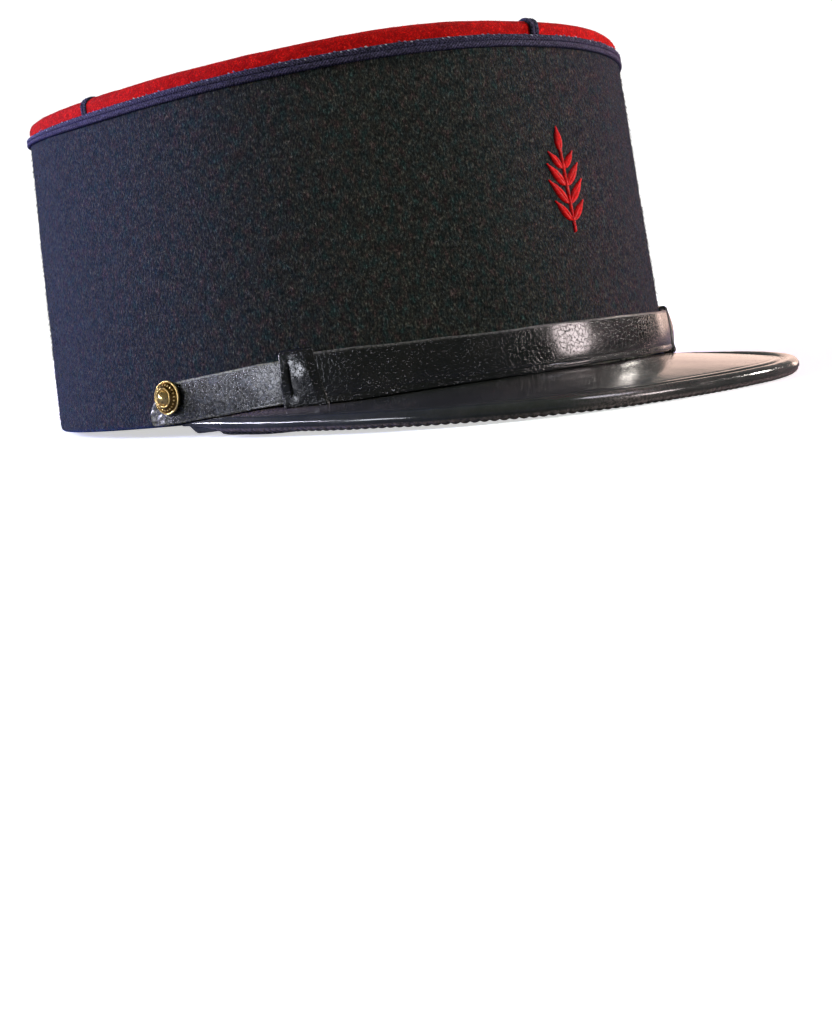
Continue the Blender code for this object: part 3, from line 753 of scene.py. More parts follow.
def solid_map(tree):
    """Places in the cap's space, in millimetres."""
    places = node(tree, "TexCoord")
    return node(tree, "Mapping", {
        "Vector": places.outputs["Object"],
        "Scale": (1 / MM, 1 / MM, 1 / MM),
    }).outputs["Vector"]


def cloudy(tree, places, scale, detail, roughness, distortion=0.0):
    return node(tree, "TexNoise", {
        "Vector": places,
        "Scale": scale,
        "Detail": detail,
        "Roughness": roughness,
        "Distortion": distortion,
    }).outputs["Fac"]


def ramp(tree, share, stops):
    """Colours at stops between 0 and 1; a stop's colour may be one number."""
    made = node(tree, "ValToRGB", {"Fac": share})
    elements = made.color_ramp.elements
    while len(elements) < len(stops):
        elements.new(0.5)
    for element, (place, colour) in zip(elements, stops):
        element.position = place
        element.color = opaque(colour if isinstance(colour, tuple) else (colour,) * 3)
    return made.outputs["Color"]


def maths(tree, operation, a, b):
    return node(tree, "Math", {0: a, 1: b}, operation=operation).outputs["Value"]


def blend_colours(tree, share, a, b, how="MIX"):
    inputs = {0: share, 6: opaque(a), 7: opaque(b)}
    return node(tree, "Mix", inputs, data_type="RGBA", blend_type=how).outputs[2]


def shaded(tree, colour, share, stops):
    """A colour times the tones of a ramp."""
    return blend_colours(tree, 1.0, colour, ramp(tree, share, stops), "MULTIPLY")


# Share read from the mesh: how worn or polished, and painted light and shade.
def wear_and_painted_light_of(tree):
    return node(tree, "Attribute", attribute_name="wear_and_painted_light").outputs["Fac"]


def thread_parts(tree):
    """A thread's own number between 0 and 1, and how far along it a place lies."""
    places = node(tree, "UVMap", uv_map="cloth")
    parts = node(tree, "SeparateXYZ", {"Vector": places.outputs["UV"]})
    return parts.outputs["X"], parts.outputs["Y"]


def bump(tree, height, distance, strength, normal=None):
    inputs = {"Height": height, "Distance": distance, "Strength": strength}
    if normal is not None:
        inputs["Normal"] = normal
    return node(tree, "Bump", inputs).outputs["Normal"]


def new_material(name):
    material = bpy.data.materials.new(name)
    material.use_nodes = True
    tree = material.node_tree
    return material, tree, tree.nodes["Principled BSDF"]


def wool_material(name, is_wall, hues, contrast, flecks, sheen, sheen_tint, grain_depth):
    """Fulled wool in mixed tones with a few pale fibres; on the wall its fibres hang."""
    material, tree, shader = new_material(name)

    def stretched(upward):
        return cloth_map(tree, 1.0, upward) if is_wall else solid_map(tree)

    hanging = stretched(0.50)
    hue = cloudy(tree, stretched(0.6), 0.50, 3.0, 0.60)
    colour = ramp(tree, hue, hues)
    light, dark = 1 + contrast, 1 / (1 + 2.5 * contrast)
    grain = cloudy(tree, hanging, 2.0, 4.0, 0.72, 0.4)
    strokes = cloudy(tree, stretched(0.34), 3.4, 2.0, 0.6, 0.9)
    worn = cloudy(tree, stretched(0.7), 0.42, 4.0, 0.72)
    colour = shaded(tree, colour, grain, ((0.38, dark), (0.50, mix(dark, light, 0.30)), (0.63, light)))
    colour = shaded(tree, colour, strokes, (
        (0.48, 1 / (1 + 0.4 * contrast)), (0.60, 1 + 0.3 * contrast), (0.70, 1 + 1.2 * contrast),
    ))
    patchiness = 1 + 0.36 * contrast
    colour = shaded(tree, colour, worn, ((0.34, 1 / patchiness), (0.66, patchiness)))
    pale = cloudy(tree, hanging, 1.5, 1.0, 0.5, 0.4)
    colour = blend_colours(tree, ramp(tree, pale, ((0.68, 0.0), (0.78, 0.6))), colour, flecks)
    height = maths(tree, "ADD", grain, maths(tree, "MULTIPLY", strokes, 0.7))
    feed(tree, shader, {
        "Base Color": colour,
        "Roughness": 0.95,
        "Specular IOR Level": 0.12,
        "Sheen Weight": sheen,
        "Sheen Roughness": 0.35,
        "Sheen Tint": opaque(sheen_tint),
        "Normal": bump(tree, height, grain_depth, 0.8),
    })
    return material


def fibre_material(name, tones, sheen_tint):
    """Loose fibres, each in one of several tones, darker at its root."""
    material, tree, shader = new_material(name)
    number, along = thread_parts(tree)
    colour = shaded(tree, ramp(tree, number, tones), along, ((0.0, 0.55), (0.6, 1.0)))
    feed(tree, shader, {
        "Base Color": colour,
        "Roughness": 0.75,
        "Specular IOR Level": 0.3,
        "Sheen Weight": 0.2,
        "Sheen Tint": opaque(sheen_tint),
    })
    return material


def braid_material():
    """Navy plaited yarn with painted shade: dark in its groove and between its yarns, its raised yarns
    paler and a little violet.
    """
    material, tree, shader = new_material("navy_soutache")
    # Painted shade: the groove and the gaps between yarns dark, the raised yarns paler.
    colour = ramp(tree, wear_and_painted_light_of(tree), (
        (0.0, (0.003, 0.003, 0.006)), (0.50, (0.009, 0.008, 0.016)), (1.0, (0.044, 0.034, 0.064)),
    ))
    tone = cloudy(tree, solid_map(tree), 2.2, 3.0, 0.7)
    colour = shaded(tree, colour, tone, ((0.38, 0.20), (0.66, 2.9)))
    hair = cloudy(tree, solid_map(tree), 9.0, 2.0, 0.6)
    feed(tree, shader, {
        "Base Color": colour,
        "Roughness": 0.8,
        "Specular IOR Level": 0.15,
        "Sheen Weight": 0.06,
        "Sheen Roughness": 0.4,
        "Sheen Tint": (0.35, 0.35, 1.0, 1.0),
        "Normal": bump(tree, hair, 0.00006, 0.7),
    })
    return material


def cracks(tree, places, scale, width):
    """1 on the leather and 0 in a net of fine cracks."""
    bent = cloudy(tree, places, 0.6, 3.0, 0.6)
    moved = node(tree, "VectorMath", {0: places, 1: bent}, operation="ADD").outputs["Vector"]
    net = node(tree, "TexVoronoi", {
        "Vector": moved, "Scale": scale, "Randomness": 1.0,
    }, feature="DISTANCE_TO_EDGE")
    return ramp(tree, net.outputs["Distance"], ((0.0, 0.0), (width, 1.0)))


def leather_material(name, tone, roughness, unevenness, dust, worn_and_painted_tone, depths):
    """Black lacquered leather: fine cracks, pits, dull dusty patches, edges worn paler, and the same
    paler tone used as painted light: a painted highlight along the straps' upper edges and a painted
    reflection under the peak's roll.

    The depths are those of the grain, the cracks, the pits and the broad waves.
    """
    material, tree, shader = new_material(name)
    places = solid_map(tree)
    wear_and_painted_light = wear_and_painted_light_of(tree)
    patches = cloudy(tree, places, 0.09, 4.0, 0.62)
    streaks = cloudy(tree, cloth_map(tree, 0.25, 1.6), 1.3, 3.0, 0.6)
    specks = cloudy(tree, places, 1.7, 3.0, 0.75)
    base = ramp(tree, patches, (
        (0.30, (0.6 * tone, 0.6 * tone, 0.58 * tone)), (0.55, (tone, 0.95 * tone, 0.9 * tone)),
        (0.75, (1.8 * tone, 1.5 * tone, 1.35 * tone)),
    ))
    drift = cloudy(tree, places, 0.35, 3.0, 0.6)
    dusty = maths(tree, "MULTIPLY", ramp(tree, specks, ((0.42, 0.0), (0.74, 1.0))), dust)
    dusty = maths(tree, "MULTIPLY", dusty, ramp(tree, drift, ((0.36, 0.30), (0.60, 1.0))))
    dust_tone = ramp(tree, drift, (
        (0.38, (0.23, 0.19, 0.17)), (0.50, (0.20, 0.20, 0.21)), (0.62, (0.19, 0.21, 0.28)),
    ))
    base = blend_colours(tree, dusty, base, dust_tone)
    # Paler where the mesh asks: worn leather, and painted highlights and painted reflections.
    worn_and_painted = maths(tree, "MULTIPLY", wear_and_painted_light, ramp(tree, specks, ((0.40, 0.10), (0.62, 0.95))))
    base = blend_colours(tree, worn_and_painted, base, worn_and_painted_tone)
    uneven = maths(tree, "MULTIPLY", patches, 0.7)
    uneven = maths(tree, "ADD", uneven, maths(tree, "MULTIPLY", streaks, 0.3))
    dull = ramp(tree, uneven, (
        (0.30, roughness * (1 - unevenness)), (0.70, roughness * (1 + unevenness)),
    ))
    dull = maths(tree, "ADD", dull, maths(tree, "MULTIPLY", wear_and_painted_light, 0.22))
    net = cracks(tree, places, 0.75, 0.05)
    dents = node(tree, "TexVoronoi", {"Vector": places, "Scale": 1.35}, feature="F1")
    pits = ramp(tree, dents.outputs["Distance"], ((0.10, 0.0), (0.32, 1.0)))
    pits = maths(tree, "MAXIMUM", pits, ramp(tree, patches, ((0.64, 0.0), (0.80, 1.0))))
    grain = cloudy(tree, places, 3.2, 2.0, 0.6)
    broad = cloudy(tree, places, 0.45, 3.0, 0.5)
    normal = None
    for height, depth, strength in zip((grain, net, pits, broad), depths, (0.8, 0.8, 0.8, 0.6)):
        normal = bump(tree, height, depth, strength, normal)
    feed(tree, shader, {
        "Base Color": base,
        "Roughness": dull,
        "Specular IOR Level": 0.38,
        "Coat Weight": 0.10,
        "Coat Roughness": 0.18,
        "Normal": normal,
    })
    return material


def brass_material():
    """Gilt brass, painted dark in its grooves, the field round its beads and its back as patina and
    painted shade, and darker and rougher where stained.
    """
    material, tree, shader = new_material("gilt_brass")
    places = solid_map(tree)
    colour = ramp(tree, wear_and_painted_light_of(tree), (
        (0.0, (0.14, 0.076, 0.020)), (0.35, (0.40, 0.24, 0.066)), (1.0, (0.82, 0.58, 0.23)),
    ))
    stain = cloudy(tree, places, 1.6, 4.0, 0.65)
    colour = shaded(tree, colour, stain, ((0.3, 0.75), (0.6, 1.0)))
    rough = maths(tree, "ADD", maths(tree, "MULTIPLY", stain, 0.25), 0.17)
    feed(tree, shader, {
        "Base Color": colour,
        "Metallic": 1.0,
        "Roughness": rough,
        "Normal": bump(tree, cloudy(tree, places, 5.0, 3.0, 0.6), 0.00002, 0.5),
    })
    return material


def thread_material():
    """Red embroidery thread: a silky gloss and fine plies."""
    material, tree, shader = new_material("red_silk_thread")
    number = thread_parts(tree)[0]
    jitter = node(tree, "TexWhiteNoise", {"W": number}, noise_dimensions="1D")
    colour = ramp(tree, jitter.outputs["Value"], (
        (0.0, (0.58, 0.002, 0.003)), (0.5, (0.80, 0.003, 0.004)), (1.0, (0.95, 0.006, 0.006)),
    ))
    plies = node(tree, "TexWave", {
        "Vector": solid_map(tree), "Scale": 2.2, "Distortion": 2.0, "Detail": 2.0,
    }, wave_type="BANDS", bands_direction="DIAGONAL")
    feed(tree, shader, {
        "Base Color": colour,
        "Roughness": 0.5,
        "Specular IOR Level": 0.15,
        "Sheen Weight": 0.10,
        "Sheen Roughness": 0.3,
        "Sheen Tint": (1.0, 0.15, 0.12, 1.0),
        "Normal": bump(tree, plies.outputs["Fac"], 0.00004, 0.6),
    })
    return material


# The crown

def add_crown_cloth(material):
    """The wool wall with its turned hem and its seam at the back."""
    angle = ring_angles(CROWN_COLUMNS)[:, None]
    hem, top = hem_height(angle), crown_height(angle)
    half = WALL / 2
    rise = np.linspace(0, 1, CROWN_ROWS)[None]
    outer_height = mix(hem + half, top, rise)
    inner_height = mix(top, hem + half, np.linspace(0, 1, INNER_ROWS)[None])
    turn = np.linspace(math.pi, 2 * math.pi, HEM_ROWS + 2)[None, 1:-1]
    height = np.concatenate((outer_height, inner_height, hem + half + half * np.sin(turn)), 1)
    out = np.concatenate((
        np.zeros(outer_height.shape),
        np.full(inner_height.shape, -WALL),
        -half + half * np.cos(turn) + 0 * angle,
    ), 1)
    from_seam = np.abs(place_of(angle) - CROWN_ROUND / 2)
    from_seam = np.minimum(from_seam, CROWN_ROUND - from_seam)
    seam = SEAM_SWELL * bell(from_seam - SEAM_SWELL_PLACE, SEAM_SWELL_WIDTH)
    seam -= SEAM_GROOVE * bell(from_seam, SEAM_GROOVE_WIDTH)
    is_outer = (np.arange(height.shape[1]) < CROWN_ROWS)[None]
    rough = waves(on_crown(angle, height, out), CLOTH_WAVES)
    out = out + np.where(is_outer, rough + seam, INNER_ROUGHNESS * rough)
    sections = on_crown(angle, height, out)
    along = CROWN_ROUND * np.arange(CROWN_COLUMNS + 1) / CROWN_COLUMNS
    mesh = swept(sections, is_ring=True, along=along)
    add_piece("crown_cloth", mesh, material, "dark_wool", "crown_wall")


def add_red_top(material):
    """Red cloth over the piped rim and the sunken middle."""
    angle = ring_angles(TOP_COLUMNS)[None]
    inset, rise = rim_curve(np.linspace(math.pi, 0, RIM_ROWS))
    inner = 2 * RIM_RADIUS_ACROSS
    fillet = np.linspace(0, math.pi / 2, 5)[1:]
    inset = np.concatenate(((0.0, 0.0), inset[:-1], inner + RECESS_FILLET * (1 - np.cos(fillet))))
    rise = np.concatenate((
        (0.0, RIM_CENTRE_RISE / 2), rise[:-1], RECESS_RISE + RECESS_FILLET * (1 - np.sin(fillet)),
    ))
    rim = on_rim(angle, inset[:, None], rise[:, None])
    share = np.linspace(0, RECESS_REACH, RECESS_ROWS)[1:, None, None]
    upper = np.concatenate((rim, mix(rim[-1][None], TOP_MIDDLE, share)))
    soft = waves(upper, TOP_WAVES, TOP_SEED)[..., None]
    is_side = (np.arange(len(upper)) < TOP_SIDE_ROWS)[:, None, None]
    upper = upper + soft * np.where(is_side, unit(upper - TOP_MIDDLE), UP)
    lower = [mix(rim[-1], TOP_MIDDLE, reach) - TOP_CLOTH * UP for reach in (RECESS_REACH, 0.5, 0.0)]
    inset, rise = TOP_UNDERSIDE_START
    lower = np.stack((*lower, on_rim(angle[0], inner * inset, rise)))
    mesh = swept(np.concatenate((upper[::-1], lower[::-1])))
    add_piece("red_top", mesh, material, "red_cloth", "crown_top")


def ridged(across, thickness, along):
    """Height of soutache over its back, and its painted shade, darker in its groove and between its
    yarns, at shares of its width.
    """
    ridge = 4 * (across % 0.5) - 1
    shape = np.sqrt(np.clip(1 - np.abs(ridge) ** RIDGE_FULLNESS, 0, 1))
    which = np.where(across < 0.5, 1.0, -1.0)
    yarn = along / YARN_PITCH + which * YARN_SLANT * ridge + 0.25 * which
    rounded = np.sqrt(1 - (2 * (yarn % 1) - 1) ** 2)
    height = mix(BRAID_GROOVE, 1.0, shape) * (thickness - YARN_DEPTH) + YARN_DEPTH * rounded * shape
    return height, mix(BRAID_GROOVE_SHADE, 1.0, shape) * mix(YARN_GAP_SHADE, 1.0, rounded)


def soutache_rows(along, thickness, sunk):
    """Soutache at distances along it: shares of its width, heights over the cloth and painted shades.

    Sunk is how much lower than its full height its face lies.
    """
    count = len(along)
    across = np.linspace(0, 1, 2 * BRAID_ROWS_A_RIDGE + 1)[None]
    face, shade = ridged(np.clip(across, 1e-4, 1 - 1e-4), thickness, along)
    across = np.concatenate((across + 0 * along, np.tile((1.0, 0.0), (count, 1))), 1)
    out = np.concatenate((face - sunk, np.full((count, 2), -BRAID_SEATING)), 1)
    return across, out, np.concatenate((shade, np.zeros((count, 2))), 1)


def add_braid(material):
    """Soutache round the crown, over the join of the red top and the wool."""
    yarns = round(CROWN_ROUND / YARN_PITCH)
    columns = yarns * SAMPLES_A_YARN
    angle = ring_angles(columns)[:, None]
    along = CROWN_ROUND * np.arange(columns)[:, None] / columns * (yarns * YARN_PITCH / CROWN_ROUND)
    across, out, shade = soutache_rows(along, BRAID_THICKNESS, BRAID_SEATING / 2)
    narrowed = smoothstep((np.abs(turned_from(angle)) - BRAID_BACK_START) / BRAID_BACK_SPREAD)
    drop = across * BRAID_HEIGHT * mix(1.0, BRAID_BACK_SHARE, narrowed)
    sections = on_crown(angle, crown_height(angle) - drop, out)
    run = CROWN_ROUND * np.arange(columns + 1) / columns
    # The mesh carries the yarn's painted shade for its material.
    mesh = swept(sections, is_ring=True, along=run, wear_and_painted_light=shade)
    add_piece("soutache", mesh, material, "navy_braid", "top_braid")


def add_rim_cord(place, degrees, material):
    """Short soutache from the braid up over the rim and down into the recess."""
    over_rim = np.stack(rim_curve(np.linspace(math.pi, 0, CORD_PATH_STEPS)), 1)
    path = np.concatenate((((0.0, CORD_START_RISE),), over_rim))
    run = lengths_along(path)
    steps = int(run[-1] / YARN_PITCH * SAMPLES_A_YARN)
    even = np.linspace(0, run[-1], steps)
    path = at_lengths(path, run, even)
    ahead = unit(np.gradient(path, axis=0))
    normal = np.stack((-ahead[:, 1], ahead[:, 0]), 1)
    across, out, shade = soutache_rows(even[:, None], CORD_THICKNESS, 0.0)
    spread = 1 + CORD_SPREAD * np.sin(math.pi * np.linspace(0, 1, steps))[:, None]
    sections = on_rim(
        np.full(across.shape, math.radians(degrees)),
        path[:, :1] + out * normal[:, :1],
        path[:, 1:] + out * normal[:, 1:],
        (across - 0.5) * CORD_WIDTH * spread,
    )
    mesh = swept(sections, wear_and_painted_light=shade)
    add_piece("rim_soutache_" + place, mesh, material, "navy_braid", "rim_cord_" + place)


# Leather

def roll_taper(turn):
    return smoothstep((np.abs(turn) - ROLL_TAPER_START) / (math.pi / 2 - ROLL_TAPER_START))


def roll_radius(turn):
    return mix(ROLL_RADIUS, ROLL_END_RADIUS, roll_taper(turn))


def roll_centre(turn):
    """Middle of the peak's rolled edge, turn 0 at the front and 90 degrees at its right end."""
    x, y = superellipse(turn, PEAK_REACH, PEAK_HALF_WIDTH, PEAK_POWER)
    z = PEAK_FRONT_Z + PEAK_SLOPE * (y + PEAK_REACH) + PEAK_SIDE_RISE * (x / PEAK_HALF_WIDTH) ** 2
    return np.stack((x, y + PEAK_CENTRE_Y, z - ROLL_END_DIP * roll_taper(turn)), -1)


def plate_rise(turn):
    """How far the plate's middle lies over the roll's, from its left side to its right."""
    share = smoothstep((turn - PEAK_EDGE_RISE_START) / PEAK_EDGE_RISE_SPREAD)
    return mix(*PEAK_EDGE_RISE, share)


def roll_inward(turn):
    """Level unit direction in from the rolled edge."""
    ahead = roll_centre(np.minimum(turn + SMALL, math.pi / 2))
    along = unit(ahead - roll_centre(np.maximum(turn - SMALL, -math.pi / 2)))
    return unit(np.cross(along, UP))


def floor_height(y):
    """Height, in the crown's frame, of the surface that the cap rests on."""
    return (y * math.sin(PITCH) - POSE_Z) / math.cos(PITCH) + FLOOR_GAP


def evenly(point_at, start, stop, count):
    """Values whose points lie the same distance apart along the curve."""
    fine = np.linspace(start, stop, 4001)
    run = lengths_along(point_at(fine))
    return np.interp(np.linspace(0, run[-1], count), run, fine)


def add_peak(material):
    """The peak's leather, with the lines pressed along its edge."""
    turn = evenly(roll_centre, -math.pi / 2, math.pi / 2, PEAK_COLUMNS)
    angle = evenly(
        lambda a: crown_point(a, np.zeros(a.shape)), -PEAK_END_ANGLE, PEAK_END_ANGLE, PEAK_COLUMNS
    )
    hem_z = hem_height(angle)
    root = on_crown(angle, hem_z, -PEAK_UNDER_CROWN)
    hem = on_crown(angle, hem_z, 0.0)
    root[:, 2] = hem[:, 2] = hem_z - PEAK_LEATHER / 2
    rim = roll_centre(turn) + PEAK_INTO_ROLL * roll_radius(turn)[:, None] * roll_inward(turn)
    rim[:, 2] += mix(plate_rise(turn), -PEAK_BELOW_ROLL, roll_taper(turn))
    length = np.linalg.norm((root - rim)[:, :2], axis=-1)[:, None]
    to_hem = np.maximum(np.linalg.norm((hem - rim)[:, :2], axis=-1), SMALL)[:, None]
    fine = np.arange(0, PEAK_FINE_EDGE, PEAK_FINE_STEP)
    fine_share = 0.5 * fine / PEAK_FINE_EDGE
    coarse_share = np.linspace(0.5, 1, PEAK_PLATE_ROWS)
    knee = np.minimum(PEAK_FINE_EDGE, 0.5 * length)
    rows = np.concatenate((fine_share, coarse_share))[None]
    distance = np.where(rows < 0.5, 2 * rows * knee, mix(knee, length, 2 * rows - 1))
    share = np.clip(distance / to_hem, 0, 1)
    point = rim[:, None] + (root - rim)[:, None] * (distance / length)[..., None]
    point[..., 2] = mix(rim[:, None, 2], hem[:, None, 2], share)
    from_roll = distance + PEAK_INTO_ROLL * ROLL_RADIUS
    pressed = sum(height * bell(from_roll - place, width) for place, width, height in PEAK_LINES)
    fade = (1 - roll_taper(turn))[:, None]
    detail = pressed * fade + PEAK_CAMBER * np.sin(math.pi * share)
    beside = bell(np.abs(angle) - PEAK_ROOT_ANGLE, PEAK_ROOT_SPREAD)[:, None]
    grown = smoothstep((share - PEAK_ROOT_REACH[0]) / PEAK_ROOT_REACH[1])
    detail = detail + PEAK_ROOT_RISE * beside * grown
    detail = detail + waves(point, PEAK_WAVES, PEAK_SEED) * smoothstep(from_roll / PEAK_WAVES_START)
    upper = point + (PEAK_LEATHER / 2 + detail)[..., None] * UP
    under_rows = np.linspace(1, 0, PEAK_UNDER_ROWS)[None, :, None]
    under_share = under_rows * np.ones((PEAK_COLUMNS, 1, 1))
    under = rim[:, None] + (root - rim)[:, None] * under_share
    under_z = np.clip(under_share[..., 0] * length / to_hem, 0, 1)
    run = lengths_along(roll_centre(turn))
    full = smoothstep(np.minimum(run, run[-1] - run) / PEAK_END_THINNING)[:, None]
    under_z = mix(rim[:, None, 2], hem[:, None, 2], under_z)
    under[..., 2] = under_z + PEAK_LEATHER * mix(*PEAK_UNDERSIDE, full)
    sections = np.concatenate((upper, under), 1)
    worn = PEAK_LINE_WEAR * np.clip(pressed / PEAK_LINE_WORN, 0, 1) * fade
    worn = worn + PEAK_ROOT_WEAR * beside * smoothstep(share / PEAK_ROOT_WORN)
    wear_and_painted_light = np.concatenate((worn, np.zeros((PEAK_COLUMNS, PEAK_UNDER_ROWS))), 1)
    mesh = swept(sections, wear_and_painted_light=wear_and_painted_light)
    add_piece("peak_leather", mesh, material, "black_leather", "peak")


def add_roll(material):
    """The peak's rolled edge, scalloped underneath by its stitches."""
    turn = evenly(roll_centre, -math.pi / 2, math.pi / 2, ROLL_COLUMNS)
    centre = roll_centre(turn)
    inward = roll_inward(turn)
    run = lengths_along(centre)[:, None]
    around = all_round(ROLL_SIDES)[None]
    from_scallop = turned_from(around, SCALLOP_DIRECTION)
    notch = 1 - np.abs(np.sin(math.pi * run / SCALLOP_PITCH)) ** NOTCH_SHARPNESS
    fade = (1 - roll_taper(turn))[:, None]
    from_groove = turned_from(around, ROLL_GROOVE_DIRECTION)
    cut = NOTCH_DEPTH * notch * bell(from_scallop, SCALLOP_SPREAD)
    cut = cut + ROLL_GROOVE_DEPTH * bell(from_groove, ROLL_GROOVE_SPREAD)
    radius = roll_radius(turn)[:, None] - cut * fade
    cosine, sine = np.cos(around)[..., None], np.sin(around)[..., None]
    sections = centre[:, None] + radius[..., None] * (sine * UP - cosine * inward[:, None])
    sections = sections + waves(sections, ROLL_WAVES, ROLL_SEED)[..., None] * UP
    sections[..., 2] = np.maximum(sections[..., 2], floor_height(sections[..., 1]))
    # Below the groove: duller, and browner as a painted reflection of a brown surface beneath.
    below = smoothstep(-from_groove / ROLL_GROOVE_SPREAD) * (from_groove > ROLL_DULL_END)
    scuffed = ROLL_DULLNESS * bell(turn - ROLL_DULL_PLACE, ROLL_DULL_SPREAD)[:, None]
    mesh = swept(sections, wear_and_painted_light=np.maximum(below * fade, scuffed))
    add_piece("peak_roll", mesh, material, "black_leather", "peak_binding")


def add_peak_stitches(material):
    """Row of small stitches in the groove beside the roll."""
    length = lengths_along(roll_centre(np.linspace(-math.pi / 2, math.pi / 2, 2001)))[-1]
    count = round(length / PEAK_STITCH_SPACING)
    turn = evenly(roll_centre, -ROLL_TAPER_START, ROLL_TAPER_START, count)
    centre, inward = roll_centre(turn), roll_inward(turn)
    ahead = np.cross(UP, inward)
    share = np.linspace(-0.5, 0.5, 5)[None, :, None]
    middle = centre + PEAK_STITCH_PLACE * inward
    middle[:, 2] += plate_rise(turn) + PEAK_LEATHER / 2 + PEAK_LINES[0][2] * PEAK_STITCH_SINK
    paths = middle[:, None] + share * PEAK_STITCH_LENGTH * ahead[:, None]
    paths = paths + PEAK_STITCH_ARCH * np.cos(math.pi * share) * UP
    radii = blunt_radii(PEAK_STITCH_RADIUS, count, 3)
    mesh = strands(paths, radii, np.tile(UP, (count, 1)), THREAD_SIDES)
    add_piece("peak_stitches", mesh, material, "black_leather")


def add_flap(material):
    """The turned-in edge of the rolled leather, seen from below, cut off slanting at its ends."""
    turn = evenly(roll_centre, -FLAP_ENDS, FLAP_ENDS, PEAK_COLUMNS)
    centre, inward = roll_centre(turn), roll_inward(turn)
    end = np.minimum(np.arange(PEAK_COLUMNS), np.arange(PEAK_COLUMNS)[::-1]) / PEAK_COLUMNS
    width = FLAP_WIDTH * smoothstep(end / FLAP_WIDENING[0] + FLAP_WIDENING[1])[:, None]
    share = np.linspace(0, 1, 8)[None]
    run = lengths_along(centre)[:, None]
    from_end = np.minimum(run, run[-1] - run)
    full = np.clip(from_end / FLAP_CUT, 0, 1)
    gone = smoothstep((from_end - FLAP_SHOWN[0]) / (FLAP_SHOWN[1] - FLAP_SHOWN[0]))
    drop = mix(FLAP_DROP[1], FLAP_DROP[0], gone)
    low = centre[:, None, 2] - full * (roll_radius(turn)[:, None] + drop)
    low = low + FLAP_LIFT * share
    place = centre[:, None] + (share * width)[..., None] * inward[:, None]
    lower, upper = place.copy(), place[:, ::-1].copy()
    lower[..., 2] = np.maximum(low, floor_height(lower[..., 1]))
    upper[..., 2] = lower[:, ::-1, 2] + FLAP_THICKNESS * mix(FLAP_END_THINNING, 1.0, full)
    sections = np.concatenate((lower, upper), 1)
    mesh = swept(sections, wear_and_painted_light=np.zeros(sections.shape[:2]))
    add_piece("peak_flap", mesh, material, "black_leather")


def leather_outline():
    """Rows round a strap's section, from its face's lower edge.

    A row's values: share of the strap's height, step up, share of its depth, step out.
    """
    bend = np.linspace(0, math.pi / 2, STRAP_CORNER_ROWS + 1)[1:-1]
    corner = STRAP_CORNER
    rows = []
    for share in np.linspace(0, 1, STRAP_FACE_ROWS):
        rows.append((share, corner * (1 - 2 * share), 1.0, 0.0))
    for angle in bend:
        rows.append((1.0, -corner * (1 - math.sin(angle)), 1.0, -corner * (1 - math.cos(angle))))
    rows.append((1.0, 0.0, 1.0, -corner))
    rows.append((1.0, 0.0, 0.0, 0.0))
    rows.append((0.0, 0.0, 0.0, 0.0))
    rows.append((0.0, 0.0, 1.0, -corner))
    for angle in bend[::-1]:
        rows.append((0.0, corner * (1 - math.sin(angle)), 1.0, -corner * (1 - math.cos(angle))))
    return np.array(rows).T[:, None]


def smoothed(values, degrees, width):
    """A table's values with their bends rounded over a width."""
    kernel = bell(degrees[:, None] - degrees[None], width)
    return (kernel @ values) / kernel.sum(axis=1)


